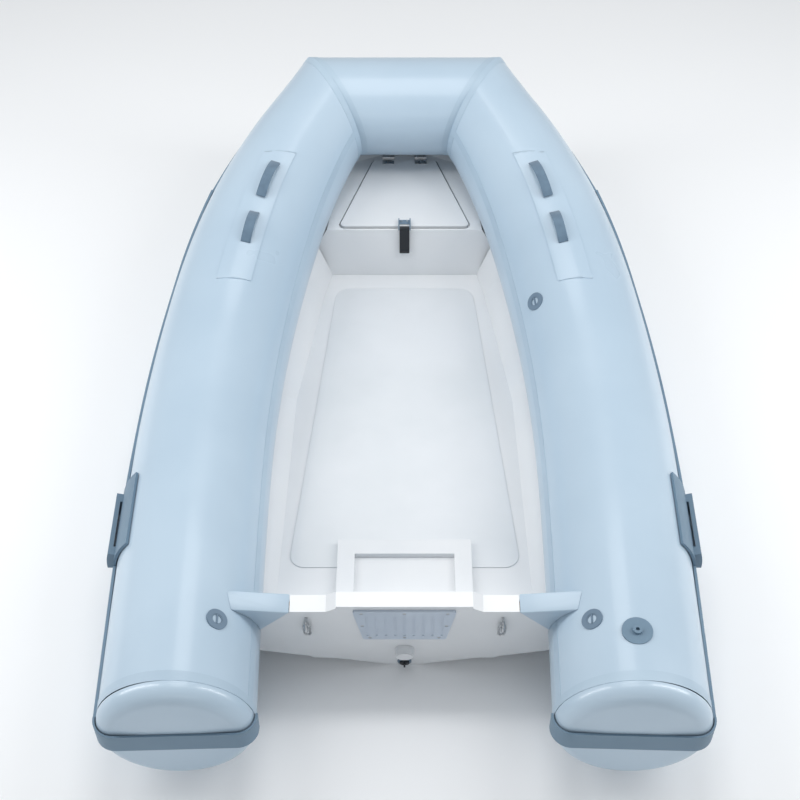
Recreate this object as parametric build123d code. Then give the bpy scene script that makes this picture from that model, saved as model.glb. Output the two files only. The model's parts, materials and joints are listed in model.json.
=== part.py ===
"""Small rigid-hull inflatable tender, about 2.4 m long, as separate real pieces.

Axes: +Y to the bow, +X to starboard, +Z up. The origin is under the middle of the
boat, on the ground that the keel stands on. Lengths along the boat are given as
distances forward of the stern end and turned into Y by station().
"""
import math
import os

from build123d import *

# ---- Tubes -------------------------------------------------------------------
TUBE_R = 195.0            # side tubes, over the parallel part
BOW_TUBE_R = 160.0        # where the tubes have tapered to the bow
TUBE_AXIS_Z = 240.0       # height of the tube axis at the stern
STERN_HALF_BEAM = 560.0   # tube axis to centreline at the stern
FULL_HALF_BEAM = 579.0    # tube axis to centreline where the boat is widest
CAP_DEPTH = 52.0          # how far the stern caps bulge aft
CAP_ROUND = 47.0          # round at the caps' edge
STRAKE_THICK = 6.0        # rubbing strake, out from the tube
STRAKE_HEIGHT = 66.0
STRAKE_ROUND = 2.4
STRAKE_BED = 6.0          # depth trimmed away where the strake's back fits the tube
FABRIC_GAP = 0.6          # between a soft chamber and what is glued to it
BAFFLE_THICK = 1.2
CUT_START = 12.0          # how far outside a face every drilled hole begins
BOLT_GAP = 0.6            # round a bolt's leg in its hole
SEAT_GAP = 0.3            # behind a plate that is screwed on
LEAF_GAP = 0.2            # under hinge leaves, seals and nuts

# Runs of the tube axis, each as (length forward, move inboard, rise).
AFT_RUN = 650.0
MID_RUN = (510.0, 18.0, 15.0)
SHOULDER_RUN = (460.0, 77.0, 85.0)
FORE_RUN = (310.0, 112.0, 85.0)
BOW_RUN = (228.0, 132.0, 72.0)
TAPER_STEPS = 7            # straight cones that make up the tapered part

# ---- Rigid hull ---------------------------------------------------------------
KEEL_HALF_FLAT = 42.0
KEEL_MARGIN = 6.0         # least rise of the bottom beside the keel's flat
HULL_SKIN = 6.0
RAIL_WIDTH = 62.0         # flat spray rail on each side of the bottom
RAIL_DEPTH = 10.0
MOULD_GAP = 0.4           # between bonded mouldings
TRANSOM_FOOT = 367.0      # stern end to the keel at the transom
TRANSOM_RAKE = 10.3       # degrees, the top leans aft
TRANSOM_TOP = 385.0
TRANSOM_DROP = 20.0       # the top is this much lower outboard of the motor
TRANSOM_RAISED_HALF = 172.0
TRANSOM_RAMP = 26.0
TRANSOM_TOP_HALF = 289.0
TRANSOM_SHOULDER_Z = 242.0
TRANSOM_WING = 190.0       # beyond the top's end, inside the chamber's round
SHOULDER_OUT = 91.0       # beyond the top's end, at the shoulder
GUSSET_OUT = 160.0
BOARD_THICK = 24.0
CAP_RAIL_HEIGHT = 14.0
RAIL_PROUD = 5.0
GUSSET_RISE = 22.0
GUSSET_PROUD = 8.0
STRINGER_X = 104.0
STRINGER_WIDTH = 14.0

# ---- Inner moulding -----------------------------------------------------------
FLOOR_Z = 135.0
LINER_SKIN = 5.0
WALL_ANGLE = 28.0         # degrees under the tube's side where the wall meets it
WELL_HALF = 186.0         # raised surround in front of the transom
WELL_LENGTH = 305.0
WELL_HEIGHT = 22.0
WELL_BORDER = 48.0
LOCKER_TOP_Z = 300.0
LOCKER_SETBACK = 438.0    # locker's aft face at the floor to the bow chamber's axis
LOCKER_FACE_LEAN = 38.0

# ---- Locker lid ---------------------------------------------------------------
LID_LENGTH = 346.0
LID_AFT_HALF = 214.0
LID_FORE_HALF = 104.0
LID_THICK = 15.0
LID_EDGE = 6.0            # face of the locker to the lid's aft edge
LID_GAP = 6.0             # lid to the side of its recess
LID_LEDGE = 20.0          # ledge that carries the seal
RECESS_DEPTH = 12.0
SEAL_THICK = 4.0
CORNER_R = 14.0
HINGE_SPAN = 110.0
HINGE_WIDTH = 40.0
HINGE_PIN_R = 2.5
HINGE_BARREL_R = 4.6
LEAF_THICK = 2.0
PIN_GAP = 0.08

# ---- Latch --------------------------------------------------------------------
LATCH_WIDTH = 32.0
LATCH_LENGTH = 92.0
LATCH_THICK = 5.0
LATCH_PIN_R = 3.0
LATCH_REACH = 26.0        # how far the anchor stands on the lid
KEEPER_THICK = 4.0
KEEPER_DOWN = 74.0        # keeper below the locker's top edge, down its face
LATCH_BACK = -2.4         # back of the strap behind the pin's axis
ANCHOR_SCREW_X = 9.0
SMALL_SCREW_R = 1.5
SMALL_HOLE_R = 1.6        # in the moulding that the small screws bite into

# ---- Fittings on the tubes ----------------------------------------------------
VALVE_FLANGE_R = 28.0
VALVE_BARREL_R = 19.0
VALVE_BORE_R = 15.0
VALVE_DEPTH = 34.0
VALVE_SEAT_DEPTH = 21.0
VALVE_WEB = 3.0
VALVE_PORT_R = 8.0
VALVE_SINK = 2.4          # seat of the flange in the chamber
VALVE_FLANGE = 2.6        # flange above the chamber
VALVE_STATION = 244.0     # stern end to the two aft valves
VALVE_LEAN = 32.0         # degrees inboard of the top of the tube
FORE_VALVE_LEAN = 48.0
FORE_VALVE_SETBACK = 813.0
CAP_GAP = 0.3
POPPET_TRAVEL = 5.0
SOCKET_STATION = 195.0
SOCKET_PAD_R = 38.0
SOCKET_BOSS_R = 12.0
SOCKET_BORE_R = 5.0
SOCKET_BOSS_HEIGHT = 9.0
SOCKET_BORE_DEPTH = 8.0
WEBBING_WIDTH = 30.0
WEBBING_THICK = 3.0
LOOP_RISE = 24.0
LOOP_GAP = 0.5            # loop's ends above the patch, which curves away beneath
WEBBING_BASE = 0.6        # underside of the webbing's ends in the loop's outline
LOOP_SETBACKS = ((343.0, 475.0), (536.0, 655.0))    # fore and aft ends of each loop
PATCH_SETBACK = 783.0
PATCH_LENGTH = 475.0
PATCH_WIDTH = 84.0
PATCH_THICK = 2.4
PATCH_BED = 4.0           # depth trimmed away where the patch fits the tube
STRAP_LEAN = 9.0          # degrees inboard of the top of the tube
HANDLE_LENGTH = 236.0
HANDLE_STATION = 621.0
HANDLE_BASE = 8.0
HANDLE_STAND = 26.0
GRIP_THICK = 12.0
GRIP_SPAN = 150.0
GRIP_END = 26.0
GRIP_ARC = (0.0, 17.0)    # degrees above the side of the tube
BASE_ARC = (-8.0, 42.0)

# ---- Fittings on the transom --------------------------------------------------
PAD_TOP_HALF = 131.0
PAD_BOTTOM_HALF = 108.0
PAD_CORNER_R = 8.0
INNER_PAD_RISE = 30.0     # foot of the inner pad above the outer one's
PAD_TOP_Z = TRANSOM_TOP - 19.0
PAD_BOTTOM_Z = 190.0
PAD_THICK = 6.0
RIB_PITCH = 12.0
RIB_DEPTH = 1.5
SCREW_R = 2.5
SCREW_HEAD_R = 4.5
SCREW_HEAD = 2.5
SCREW_LENGTH = 20.0       # into the hull's skin and the board
HEAD_SINK = 3.0           # seat of the pad's screw heads below the pad's face
EYE_X = 250.0
EYE_Z = TRANSOM_TOP - 85.0
EYE_SPACING = 32.0
EYE_ROD_R = 4.0
EYE_REACH = 30.0
LINK_ROD_R = 3.0
LINK_GAP = 0.6
LINK_LENGTH = 46.0
PLATE_THICK = 3.0
NUT_R = 7.5
NUT_HEIGHT = 6.0
LINK_STAND = 10.0          # link's place along the eye's leg
SCUPPER_Z = 112.0
SCUPPER_R = 24.0
SCUPPER_BORE_R = 18.0
SCUPPER_REACH = 22.0
SCUPPER_INSIDE = 6.0
FLAP_AXIS = 2.8
DRAIN_Z = 27.0
DRAIN_FLANGE_R = 19.0
DRAIN_BORE_R = 9.0
DRAIN_FLANGE = 4.0
DRAIN_INSIDE = 26.0
STEM_EYE_Z = 284.0
PLATE_HALF = 10.0         # backing plates behind the eyes


def station(distance):
    """Y of a point that lies this far forward of the stern end."""
    return distance - LENGTH_OVERALL / 2


# ---- Axis of the tubes --------------------------------------------------------
STERN_SEAM = CAP_DEPTH + STRAKE_THICK
BOW_AXIS = STERN_SEAM + AFT_RUN + MID_RUN[0] + SHOULDER_RUN[0] + FORE_RUN[0] + BOW_RUN[0]
LOCKER_FOOT = BOW_AXIS - LOCKER_SETBACK
LENGTH_OVERALL = BOW_AXIS + BOW_TUBE_R + STRAKE_THICK


def axis_points():
    """Corner points of the starboard tube's axis, from the stern to the bow mitre."""
    points = [
        Vector(STERN_HALF_BEAM, station(STERN_SEAM), TUBE_AXIS_Z),
        Vector(FULL_HALF_BEAM, station(STERN_SEAM + AFT_RUN), TUBE_AXIS_Z),
    ]
    for forward, inboard, rise in (MID_RUN, SHOULDER_RUN, FORE_RUN, BOW_RUN):
        points.append(points[-1] + Vector(-inboard, forward, rise))
    return points


AXIS = axis_points()
FORE_DIR = (AXIS[-1] - AXIS[-2]).normalized()
BOW_Z = AXIS[-1].Z


def bend_radii(points):
    """The largest arc that each corner of a path leaves room for."""
    radii = []
    for before, corner, after in zip(points, points[1:], points[2:]):
        turn = math.radians((corner - before).get_angle(after - corner))
        shorter = min((corner - before).length, (after - corner).length)
        radii.append(0.45 * shorter / math.tan(turn / 2))
    return radii


TUBE_PATH = FilletPolyline(*AXIS, radius=bend_radii(AXIS))
PARALLEL_PATH = Wire(TUBE_PATH.edges().sort_by(Axis.Y)[:6])
TAPER_START = (PARALLEL_PATH @ 1).Y


def tube_radius(y):
    """Radius of a side tube at Y, tapering from the shoulder to the bow."""
    share = (y - TAPER_START) / (AXIS[-1].Y - TAPER_START)
    return TUBE_R + (BOW_TUBE_R - TUBE_R) * max(0.0, min(1.0, share))


def axis_at(y):
    """Point on the starboard tube's axis with this Y, and the axis's direction there."""
    low, high = 0.0, 1.0
    for _ in range(40):
        middle = (low + high) / 2
        if (TUBE_PATH @ middle).Y < y:
            low = middle
        else:
            high = middle
    return TUBE_PATH @ low, TUBE_PATH % low


def surface_frame(distance, lean):
    """Plane on the starboard tube, Z outward; lean is degrees from the top of the tube."""
    centre, along = axis_at(station(distance))
    side = along.cross(Vector(0, 0, 1)).normalized()
    top = side.cross(along).normalized()
    angle = math.radians(lean)
    out = top * math.cos(angle) - side * math.sin(angle)
    return Plane(origin=centre + out * tube_radius(centre.Y), x_dir=along, z_dir=out)


MITRE_NORMAL = (FORE_DIR + Vector(-1, 0, 0)).normalized()
MITRE_UP = Vector(1, 0, 0).cross(MITRE_NORMAL).normalized()
MITRE_OUT = MITRE_NORMAL.cross(MITRE_UP)


def round_frame(centre, along):
    """Plane across the tube, X outboard and Y up."""
    return Plane(origin=centre, x_dir=along.cross(Vector(0, 0, 1)), z_dir=along * -1)


def taper_stations():
    """Y of the sections along the tapered part, without the mitre."""
    run = AXIS[-1].Y - BOW_TUBE_R * 0.5 - TAPER_START
    return [TAPER_START + run * step / TAPER_STEPS for step in range(TAPER_STEPS + 1)]


def side_tube(extra=0.0, setback=0.0):
    """Starboard chamber: a swept circle, then cones that end in the mitre's ellipse."""
    start = round_frame(PARALLEL_PATH @ 0, PARALLEL_PATH % 0)
    parallel = sweep(start * Circle(TUBE_R + extra), path=PARALLEL_PATH)
    sections = []
    for y in taper_stations():
        centre, along = axis_at(y)
        sections.append(round_frame(centre, along) * Circle(tube_radius(centre.Y) + extra))
    radius = BOW_TUBE_R + extra
    end = Plane(
        origin=AXIS[-1] - MITRE_NORMAL * setback, x_dir=MITRE_OUT, z_dir=MITRE_NORMAL * -1)
    sections.append(end * Ellipse(radius / abs(MITRE_NORMAL.X), radius))
    return parallel + loft(sections, ruled=True)


def bow_cylinder(extra=0.0, setback=0.0):
    """Straight chamber across the bow, cut on both mitre planes."""
    half = AXIS[-1].X + BOW_TUBE_R * 2
    across = Plane(origin=(-half, AXIS[-1].Y, BOW_Z), x_dir=(0, 1, 0), z_dir=(1, 0, 0))
    tube = extrude(across * Circle(BOW_TUBE_R + extra), 2 * half)
    cut = Plane(origin=AXIS[-1] + MITRE_NORMAL * setback, z_dir=MITRE_NORMAL)
    tube = split(tube, bisect_by=cut, keep=Keep.TOP)
    return mirror(split(mirror(tube, Plane.YZ), bisect_by=cut, keep=Keep.TOP), Plane.YZ)


def largest(shape):
    """The main solid, without scraps that a cut left behind a chamber."""
    return max(shape.solids(), key=lambda solid: solid.volume)


def mirrored(shape):
    """The same piece on the port side."""
    return mirror(shape, Plane.YZ)


def both_sides(shape):
    """The piece and its mirror image."""
    return [shape, mirrored(shape)]


TUBE_CUTTER = side_tube(FABRIC_GAP)
CUTTERS = both_sides(TUBE_CUTTER) + [bow_cylinder(FABRIC_GAP)]


def clear_of_tubes(shape):
    """Cut a moulding back to the surface of the chambers."""
    for cutter in CUTTERS:
        shape = shape - cutter
    return shape


# ---- Chambers -----------------------------------------------------------------
VALVES = {
    "fore": surface_frame(BOW_AXIS - FORE_VALVE_SETBACK, FORE_VALVE_LEAN),
    "starboard": surface_frame(VALVE_STATION, VALVE_LEAN),
    "port": surface_frame(VALVE_STATION, VALVE_LEAN),
}
SOCKET_FRAME = surface_frame(SOCKET_STATION, 0.0)


def valve_hole(frame):
    """Hole in a chamber for a valve: a shallow seat for the flange and the barrel's bore."""
    seat = Pos(0, 0, -VALVE_SINK) * Cylinder(
        VALVE_FLANGE_R + CAP_GAP, VALVE_SINK * 3, align=(Align.CENTER, Align.CENTER, Align.MIN))
    bore = Pos(0, 0, -VALVE_DEPTH - 2) * Cylinder(
        VALVE_BARREL_R + FABRIC_GAP, VALVE_DEPTH + 2, align=(Align.CENTER, Align.CENTER, Align.MIN))
    return frame * (seat + bore)


def stern_cap():
    """Rounded end of the starboard chamber, glued on at the stern seam."""
    disc = Cylinder(TUBE_R, CAP_DEPTH, align=(Align.CENTER, Align.CENTER, Align.MIN))
    disc = fillet(disc.edges().sort_by(Axis.Z)[-1], CAP_ROUND)
    return round_frame(AXIS[0], (AXIS[1] - AXIS[0]).normalized()) * disc


STARBOARD_BODY = side_tube(setback=BAFFLE_THICK / 2)
tube_starboard = STARBOARD_BODY - [valve_hole(VALVES["fore"]), valve_hole(VALVES["starboard"])]
tube_port = mirrored(STARBOARD_BODY - valve_hole(VALVES["port"]))
tube_bow = bow_cylinder(setback=BAFFLE_THICK / 2)
baffle_frame = Plane(origin=AXIS[-1], x_dir=MITRE_OUT, z_dir=MITRE_NORMAL)
baffle = extrude(
    baffle_frame * Ellipse((BOW_TUBE_R - 1) / abs(MITRE_NORMAL.X), BOW_TUBE_R - 1),
    BAFFLE_THICK / 2 - 0.1, both=True)


# ---- Rubbing strake -----------------------------------------------------------
def strake_section(centre, along, radius, grow=0.0):
    """Cross-section of the strake, a rounded band standing on the side of the tube."""
    depth = STRAKE_THICK + STRAKE_BED + grow
    middle = Pos(radius + STRAKE_THICK + grow - depth / 2, 0)
    height = STRAKE_HEIGHT + 2 * grow
    return round_frame(centre, along) * middle * RectangleRounded(depth, height, STRAKE_ROUND)


def side_strake():
    """Strake along the starboard tube, from the stern seam to the bow mitre."""
    start = strake_section(PARALLEL_PATH @ 0, PARALLEL_PATH % 0, TUBE_R)
    parallel = sweep(start, path=PARALLEL_PATH)
    sections = []
    for y in taper_stations():
        centre, along = axis_at(y)
        sections.append(strake_section(centre, along, tube_radius(centre.Y)))
    sections.append(strake_section(AXIS[-1] + FORE_DIR * BOW_TUBE_R, FORE_DIR, BOW_TUBE_R))
    cut = Plane(origin=AXIS[-1] - MITRE_NORMAL * MOULD_GAP, z_dir=MITRE_NORMAL)
    band = split(parallel + loft(sections, ruled=True), bisect_by=cut, keep=Keep.BOTTOM)
    return largest(band - TUBE_CUTTER)


def bow_strake():
    """Strake across the bow between the two mitres."""
    half = AXIS[-1].X + BOW_TUBE_R * 2
    section = strake_section(Vector(half, AXIS[-1].Y, BOW_Z), Vector(-1, 0, 0), BOW_TUBE_R)
    band = extrude(section, 2 * half, dir=(-1, 0, 0))
    cut = Plane(origin=AXIS[-1] + MITRE_NORMAL * MOULD_GAP, z_dir=MITRE_NORMAL)
    band = split(band, bisect_by=cut, keep=Keep.TOP)
    band = mirrored(split(mirrored(band), bisect_by=cut, keep=Keep.TOP))
    return largest(band - bow_cylinder(FABRIC_GAP))


def cap_plan(grow):
    """Plan of the cap with square front corners, grown on every side."""
    width, depth = 2 * (TUBE_R + grow), CAP_DEPTH + grow
    plan = Pos(0, -depth / 2) * Rectangle(width, depth)
    return fillet(plan.vertices().sort_by(Axis.Y)[:2], CAP_ROUND + grow)


def stern_strake():
    """Strake round the starboard cap, from the stern seam to the inboard side."""
    band = cap_plan(STRAKE_THICK) - cap_plan(FABRIC_GAP)
    band = band - Rectangle(2 * TUBE_R + 40, 2 * MOULD_GAP)
    along = (AXIS[1] - AXIS[0]).normalized()
    frame = Plane(origin=AXIS[0], x_dir=along.cross(Vector(0, 0, 1)), z_dir=(0, 0, 1))
    return frame * extrude(band, STRAKE_HEIGHT / 2, both=True)


# ---- Rigid hull ---------------------------------------------------------------
# Sections of the bottom: (distance, keel height, rail height, rail outer half width,
# chine half width, chine height).
HULL_SECTIONS = (
    (TRANSOM_FOOT - 140.0, 0.0, 48.0, 247.0, 425.0, 112.0),
    (STERN_SEAM + AFT_RUN + MID_RUN[0], 0.0, 50.0, 240.0, 415.0, 118.0),
    (STERN_SEAM + AFT_RUN + MID_RUN[0] + SHOULDER_RUN[0], 8.0, 62.0, 205.0, 338.0, 152.0),
    (LOCKER_FOOT + 22.0, 22.0, 78.0, 188.0, 305.0, 165.0),
    (BOW_AXIS - BOW_RUN[0], 95.0, 150.0, 140.0, 250.0, 235.0),
    (BOW_AXIS - 86.0, 175.0, 215.0, 110.0, 205.0, 285.0),
    (BOW_AXIS - 4.0, 265.0, 285.0, 75.0, 165.0, 318.0),
)


def hull_section(values, inset, above):
    """Closed outline of the hull at one station, moved in by inset."""
    distance, keel, rail, rail_half, chine_half, chine = values
    wall_top = axis_at(min(station(distance), AXIS[-1].Y))[0].Z + above
    rail_inner = max(rail_half - RAIL_WIDTH, KEEL_HALF_FLAT + KEEL_MARGIN)
    right = [
        (KEEL_HALF_FLAT - inset / 2, keel + inset),
        (rail_inner, rail - 4.0 + inset),
        (rail_half - inset, rail + inset),
        (rail_half + 5.0 - inset, rail + RAIL_DEPTH + inset),
        (chine_half - inset, chine + inset),
        (chine_half - inset, wall_top),
    ]
    left = [(-x, z) for x, z in reversed(right)]
    frame = Plane(origin=(0, station(distance), 0), x_dir=(1, 0, 0), z_dir=(0, -1, 0))
    return frame * make_face(Polyline(*right, *left, close=True))


def hull_loft(inset=0.0, above=0.0, forward=0.0):
    """Solid of the hull's outer shape, or of the space inside it."""
    sections = list(HULL_SECTIONS)
    if forward:
        last = sections[-1]
        sections[-1] = (last[0] - forward,) + last[1:]
    return loft([hull_section(values, inset, above) for values in sections], ruled=True)


RAKE = math.radians(TRANSOM_RAKE)
TRANSOM_FRAME = Plane(
    origin=(0, station(TRANSOM_FOOT), 0), x_dir=(1, 0, 0),
    z_dir=(0, -math.cos(RAKE), -math.sin(RAKE)))


def slant(z):
    """Height up the raked transom that reaches this Z."""
    return z / math.cos(RAKE)


def ahead_of_transom(shape, depth=0.0):
    """Keep what lies forward of the transom's aft face, less depth."""
    cut = TRANSOM_FRAME.offset(-depth) if depth else TRANSOM_FRAME
    return split(shape, bisect_by=cut, keep=Keep.BOTTOM)


def transom_slab(start, thick, top_trim=0.0, low=0.0):
    """A layer of the transom: start is its depth behind the aft face."""
    crest = slant(TRANSOM_TOP) - top_trim
    ledge = crest - TRANSOM_DROP
    outline = [
        (KEEL_HALF_FLAT, low),
        (TRANSOM_TOP_HALF + TRANSOM_WING, low + 130.0),
        (TRANSOM_TOP_HALF + TRANSOM_WING, slant(TRANSOM_SHOULDER_Z)),
        (TRANSOM_TOP_HALF + SHOULDER_OUT, slant(TRANSOM_SHOULDER_Z)),
        (TRANSOM_TOP_HALF, ledge),
        (TRANSOM_RAISED_HALF + TRANSOM_RAMP, ledge),
        (TRANSOM_RAISED_HALF, crest),
    ]
    mirror_side = [(-x, z) for x, z in reversed(outline)]
    face = make_face(Polyline(*outline, *mirror_side, close=True))
    return extrude(TRANSOM_FRAME.offset(-start) * face, -thick)


HULL_OUTSIDE = hull_loft()
HULL_INSIDE = hull_loft(HULL_SKIN, 5.0, HULL_SKIN)
HULL_ROOM = hull_loft(HULL_SKIN + MOULD_GAP, 4.0, HULL_SKIN + MOULD_GAP)
LINER_DEPTH = HULL_SKIN + BOARD_THICK + 2 * MOULD_GAP
TRANSOM_THICK = LINER_DEPTH + LINER_SKIN


ABOVE_SHOULDER = Pos(0, station(TRANSOM_FOOT), TRANSOM_SHOULDER_Z) * Box(
    2 * FULL_HALF_BEAM, 400, 600, align=(Align.CENTER, Align.CENTER, Align.MIN))


def transom_fit(shape):
    """Trim a layer of the transom to the V of the hull, inside its skin."""
    return largest(clear_of_tubes(shape & (HULL_ROOM + ABOVE_SHOULDER)))


def transom_spot(x, z, depth=0.0):
    """Plane on the transom, Z pointing aft, this far behind its aft face."""
    return TRANSOM_FRAME * Pos(x, slant(z), -depth)


def rod(radius, bottom, top):
    """Cylinder along Z between two heights."""
    return Pos(0, 0, bottom) * Cylinder(
        radius, top - bottom, align=(Align.CENTER, Align.CENTER, Align.MIN))


def ring(outer, inner, bottom, top):
    """Round collar along Z with a through hole."""
    return rod(outer, bottom, top) - rod(inner, bottom - 1, top + 1)


def block(low, high):
    """Box from its lowest corner to its highest."""
    size = [top - bottom for bottom, top in zip(low, high)]
    return Pos(*low) * Box(*size, align=(Align.MIN, Align.MIN, Align.MIN))


def drilled(shape, spots, radius, depth):
    """Cut a straight hole at each spot, along the spot's own Z."""
    for spot in spots:
        shape = shape - spot * rod(radius, -depth, CUT_START)
    return shape


EYE_SPOTS = [transom_spot(side * EYE_X, EYE_Z) for side in (1, -1)]
EYE_HOLES = [spot * Pos(0, up * EYE_SPACING / 2, 0) for spot in EYE_SPOTS for up in (1, -1)]
PAD_SCREWS = [(x, PAD_TOP_Z - 12.0) for x in (-PAD_TOP_HALF + 22.0, 0.0, PAD_TOP_HALF - 22.0)]
PAD_SCREWS += [(x, PAD_BOTTOM_Z + 12.0) for x in (-PAD_BOTTOM_HALF + 18.0, 0.0, PAD_BOTTOM_HALF - 18.0)]
PAD_SCREWS += [(x, (PAD_TOP_Z + PAD_BOTTOM_Z) / 2) for x in (-PAD_BOTTOM_HALF, PAD_BOTTOM_HALF)]
PAD_SPOTS = [transom_spot(x, z) for x, z in PAD_SCREWS]
SCUPPER_SPOT = transom_spot(0, SCUPPER_Z)
DRAIN_SPOT = transom_spot(0, DRAIN_Z)
SCUPPER_SLEEVE_R = SCUPPER_BORE_R + 3.0
DRAIN_SLEEVE_R = DRAIN_BORE_R + 3.0


def transom_holes(shape):
    """Cut everything that passes through a layer of the transom."""
    shape = drilled(shape, EYE_HOLES, EYE_ROD_R + BOLT_GAP, TRANSOM_THICK + 20)
    shape = drilled(shape, PAD_SPOTS, SCREW_R + 0.05, SCREW_LENGTH + 0.5)
    shape = drilled(shape, [SCUPPER_SPOT], SCUPPER_SLEEVE_R + MOULD_GAP, TRANSOM_THICK + 20)
    return drilled(shape, [DRAIN_SPOT], DRAIN_SLEEVE_R + MOULD_GAP, TRANSOM_THICK + 20)


STEM_PLATE_Y = station(HULL_SECTIONS[-1][0])
STEM_SPOT = Plane(origin=(0, STEM_PLATE_Y, STEM_EYE_Z), x_dir=(1, 0, 0), z_dir=(0, 1, 0))
STEM_HOLES = [STEM_SPOT * Pos(side * EYE_SPACING / 2, 0, 0) for side in (1, -1)]


def hull():
    """V bottom with spray rails, its sides, and the outer skin of the transom."""
    shell = ahead_of_transom(HULL_OUTSIDE) - ahead_of_transom(HULL_INSIDE, HULL_SKIN)
    skin = transom_slab(0.0, HULL_SKIN, CAP_RAIL_HEIGHT + MOULD_GAP)
    skin = skin & (ahead_of_transom(HULL_OUTSIDE) + ABOVE_SHOULDER)
    shell = largest(clear_of_tubes(shell + skin))
    shell = drilled(shell, STEM_HOLES, EYE_ROD_R + BOLT_GAP, HULL_SKIN + 20)
    return transom_holes(shell)


# ---- Inner moulding -----------------------------------------------------------
# Half widths of the floor: (distance, half width at the foot of the wall).
FLOOR_SECTIONS = (
    (TRANSOM_FOOT - 90.0, 354.0),
    (STERN_SEAM + AFT_RUN + MID_RUN[0], 330.0),
    (STERN_SEAM + AFT_RUN + MID_RUN[0] + SHOULDER_RUN[0], 262.0),
    (LOCKER_FOOT + LINER_SKIN, 240.0),
)
LOCKER_EDGE = LOCKER_FOOT + LOCKER_FACE_LEAN
LID_AFT_Y = station(LOCKER_EDGE) + LID_EDGE + LID_GAP
LID_FORE_Y = LID_AFT_Y + LID_LENGTH
LEDGE_Z = LOCKER_TOP_Z - RECESS_DEPTH
LID_BOTTOM_Z = LEDGE_Z + SEAL_THICK + 0.4
LID_TOP_Z = LID_BOTTOM_Z + LID_THICK


def tray_section(distance, half, outset, height):
    """Outline across the cockpit: floor, then walls that run up under the chambers."""
    centre, _ = axis_at(station(distance))
    angle = math.radians(WALL_ANGLE)
    reach = 0.88 * tube_radius(centre.Y)
    wall_x = centre.X - reach * math.cos(angle)
    wall_z = centre.Z - reach * math.sin(angle)
    right = [
        (half + outset * 0.6, FLOOR_Z - outset),
        (wall_x + outset, wall_z - outset * 0.5),
        (wall_x + outset, wall_z + height),
    ]
    left = [(-x, z) for x, z in reversed(right)]
    frame = Plane(origin=(0, station(distance), 0), x_dir=(1, 0, 0), z_dir=(0, -1, 0))
    return frame * make_face(Polyline(*right, *left, close=True))


def tray(outset, height):
    """Solid of the cockpit's outside, or of the space in it."""
    return loft([tray_section(d, half, outset, height) for d, half in FLOOR_SECTIONS], ruled=True)


def lid_outline(grow=0.0):
    """Trapezoid of the lid with rounded corners, or a larger or smaller copy."""
    face = make_face(Polyline(
        (-LID_AFT_HALF, LID_AFT_Y), (LID_AFT_HALF, LID_AFT_Y),
        (LID_FORE_HALF, LID_FORE_Y), (-LID_FORE_HALF, LID_FORE_Y), close=True))
    face = fillet(face.vertices(), CORNER_R)
    return offset(face, grow) if grow else face


def upright(face, low, high):
    """Extrude an outline between two heights."""
    return extrude(Pos(0, 0, low) * face, high - low)


def locker_moulding():
    """Aft face and top of the bow locker, with the lid's recess and the way in."""
    foot, edge = station(LOCKER_FOOT), station(LOCKER_EDGE)
    front = STEM_PLATE_Y - HULL_SKIN - 2 * MOULD_GAP
    under = LOCKER_TOP_Z - LINER_SKIN
    profile = make_face(Polyline(
        (foot, FLOOR_Z - LINER_SKIN), (edge, LOCKER_TOP_Z), (front, LOCKER_TOP_Z), (front, under),
        (edge + LINER_SKIN, under), (foot + LINER_SKIN, FLOOR_Z - LINER_SKIN), close=True))
    across = Plane(origin=(-FULL_HALF_BEAM, 0, 0), x_dir=(0, 1, 0), z_dir=(1, 0, 0))
    plate = extrude(across * profile, 2 * FULL_HALF_BEAM)
    plate = plate + upright(lid_outline(LID_GAP + LINER_SKIN), LEDGE_Z - LINER_SKIN, LOCKER_TOP_Z)
    plate = plate - upright(lid_outline(LID_GAP), LEDGE_Z, LOCKER_TOP_Z + 50)
    return plate - upright(lid_outline(-LID_LEDGE), LEDGE_Z - 50, LEDGE_Z + 1)


def stern_well():
    """Raised surround on the floor in front of the transom, open in the middle."""
    aft = station(TRANSOM_FOOT - 60)
    front = station(TRANSOM_FOOT) + WELL_LENGTH
    body = block((-WELL_HALF, aft, FLOOR_Z - 1), (WELL_HALF, front, FLOOR_Z + WELL_HEIGHT))
    inner_half = WELL_HALF - WELL_BORDER
    pocket = block((-inner_half, aft - 1, FLOOR_Z + 4),
                   (inner_half, front - WELL_BORDER, FLOOR_Z + WELL_HEIGHT + 1))
    return body - pocket


def liner():
    """Floor, cockpit sides, transom lining and bow locker as one moulding."""
    cockpit = tray(LINER_SKIN, 120) - tray(0, 160)
    ahead = ahead_of_transom(cockpit + stern_well(), LINER_DEPTH)
    foot = station(LOCKER_FOOT) + LINER_SKIN
    ahead = split(ahead, bisect_by=Plane.XZ.offset(-foot), keep=Keep.TOP)
    lining = transom_slab(LINER_DEPTH, LINER_SKIN, CAP_RAIL_HEIGHT + MOULD_GAP)
    lining = split(lining, bisect_by=Plane.XY.offset(FLOOR_Z - LINER_SKIN), keep=Keep.TOP)
    whole = ((ahead + locker_moulding()) & HULL_ROOM) + (lining & (HULL_ROOM + ABOVE_SHOULDER))
    whole = largest(clear_of_tubes(whole))
    whole = drilled(whole, EYE_HOLES, EYE_ROD_R + BOLT_GAP, TRANSOM_THICK + 20)
    return largest(drilled(whole, [latch_spot(KEEPER_DOWN)], SMALL_HOLE_R, 12))


def transom_board():
    """Marine plywood between the two skins of the transom."""
    core = transom_slab(HULL_SKIN + MOULD_GAP, BOARD_THICK, CAP_RAIL_HEIGHT + MOULD_GAP, HULL_SKIN)
    return transom_holes(transom_fit(core))


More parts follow.
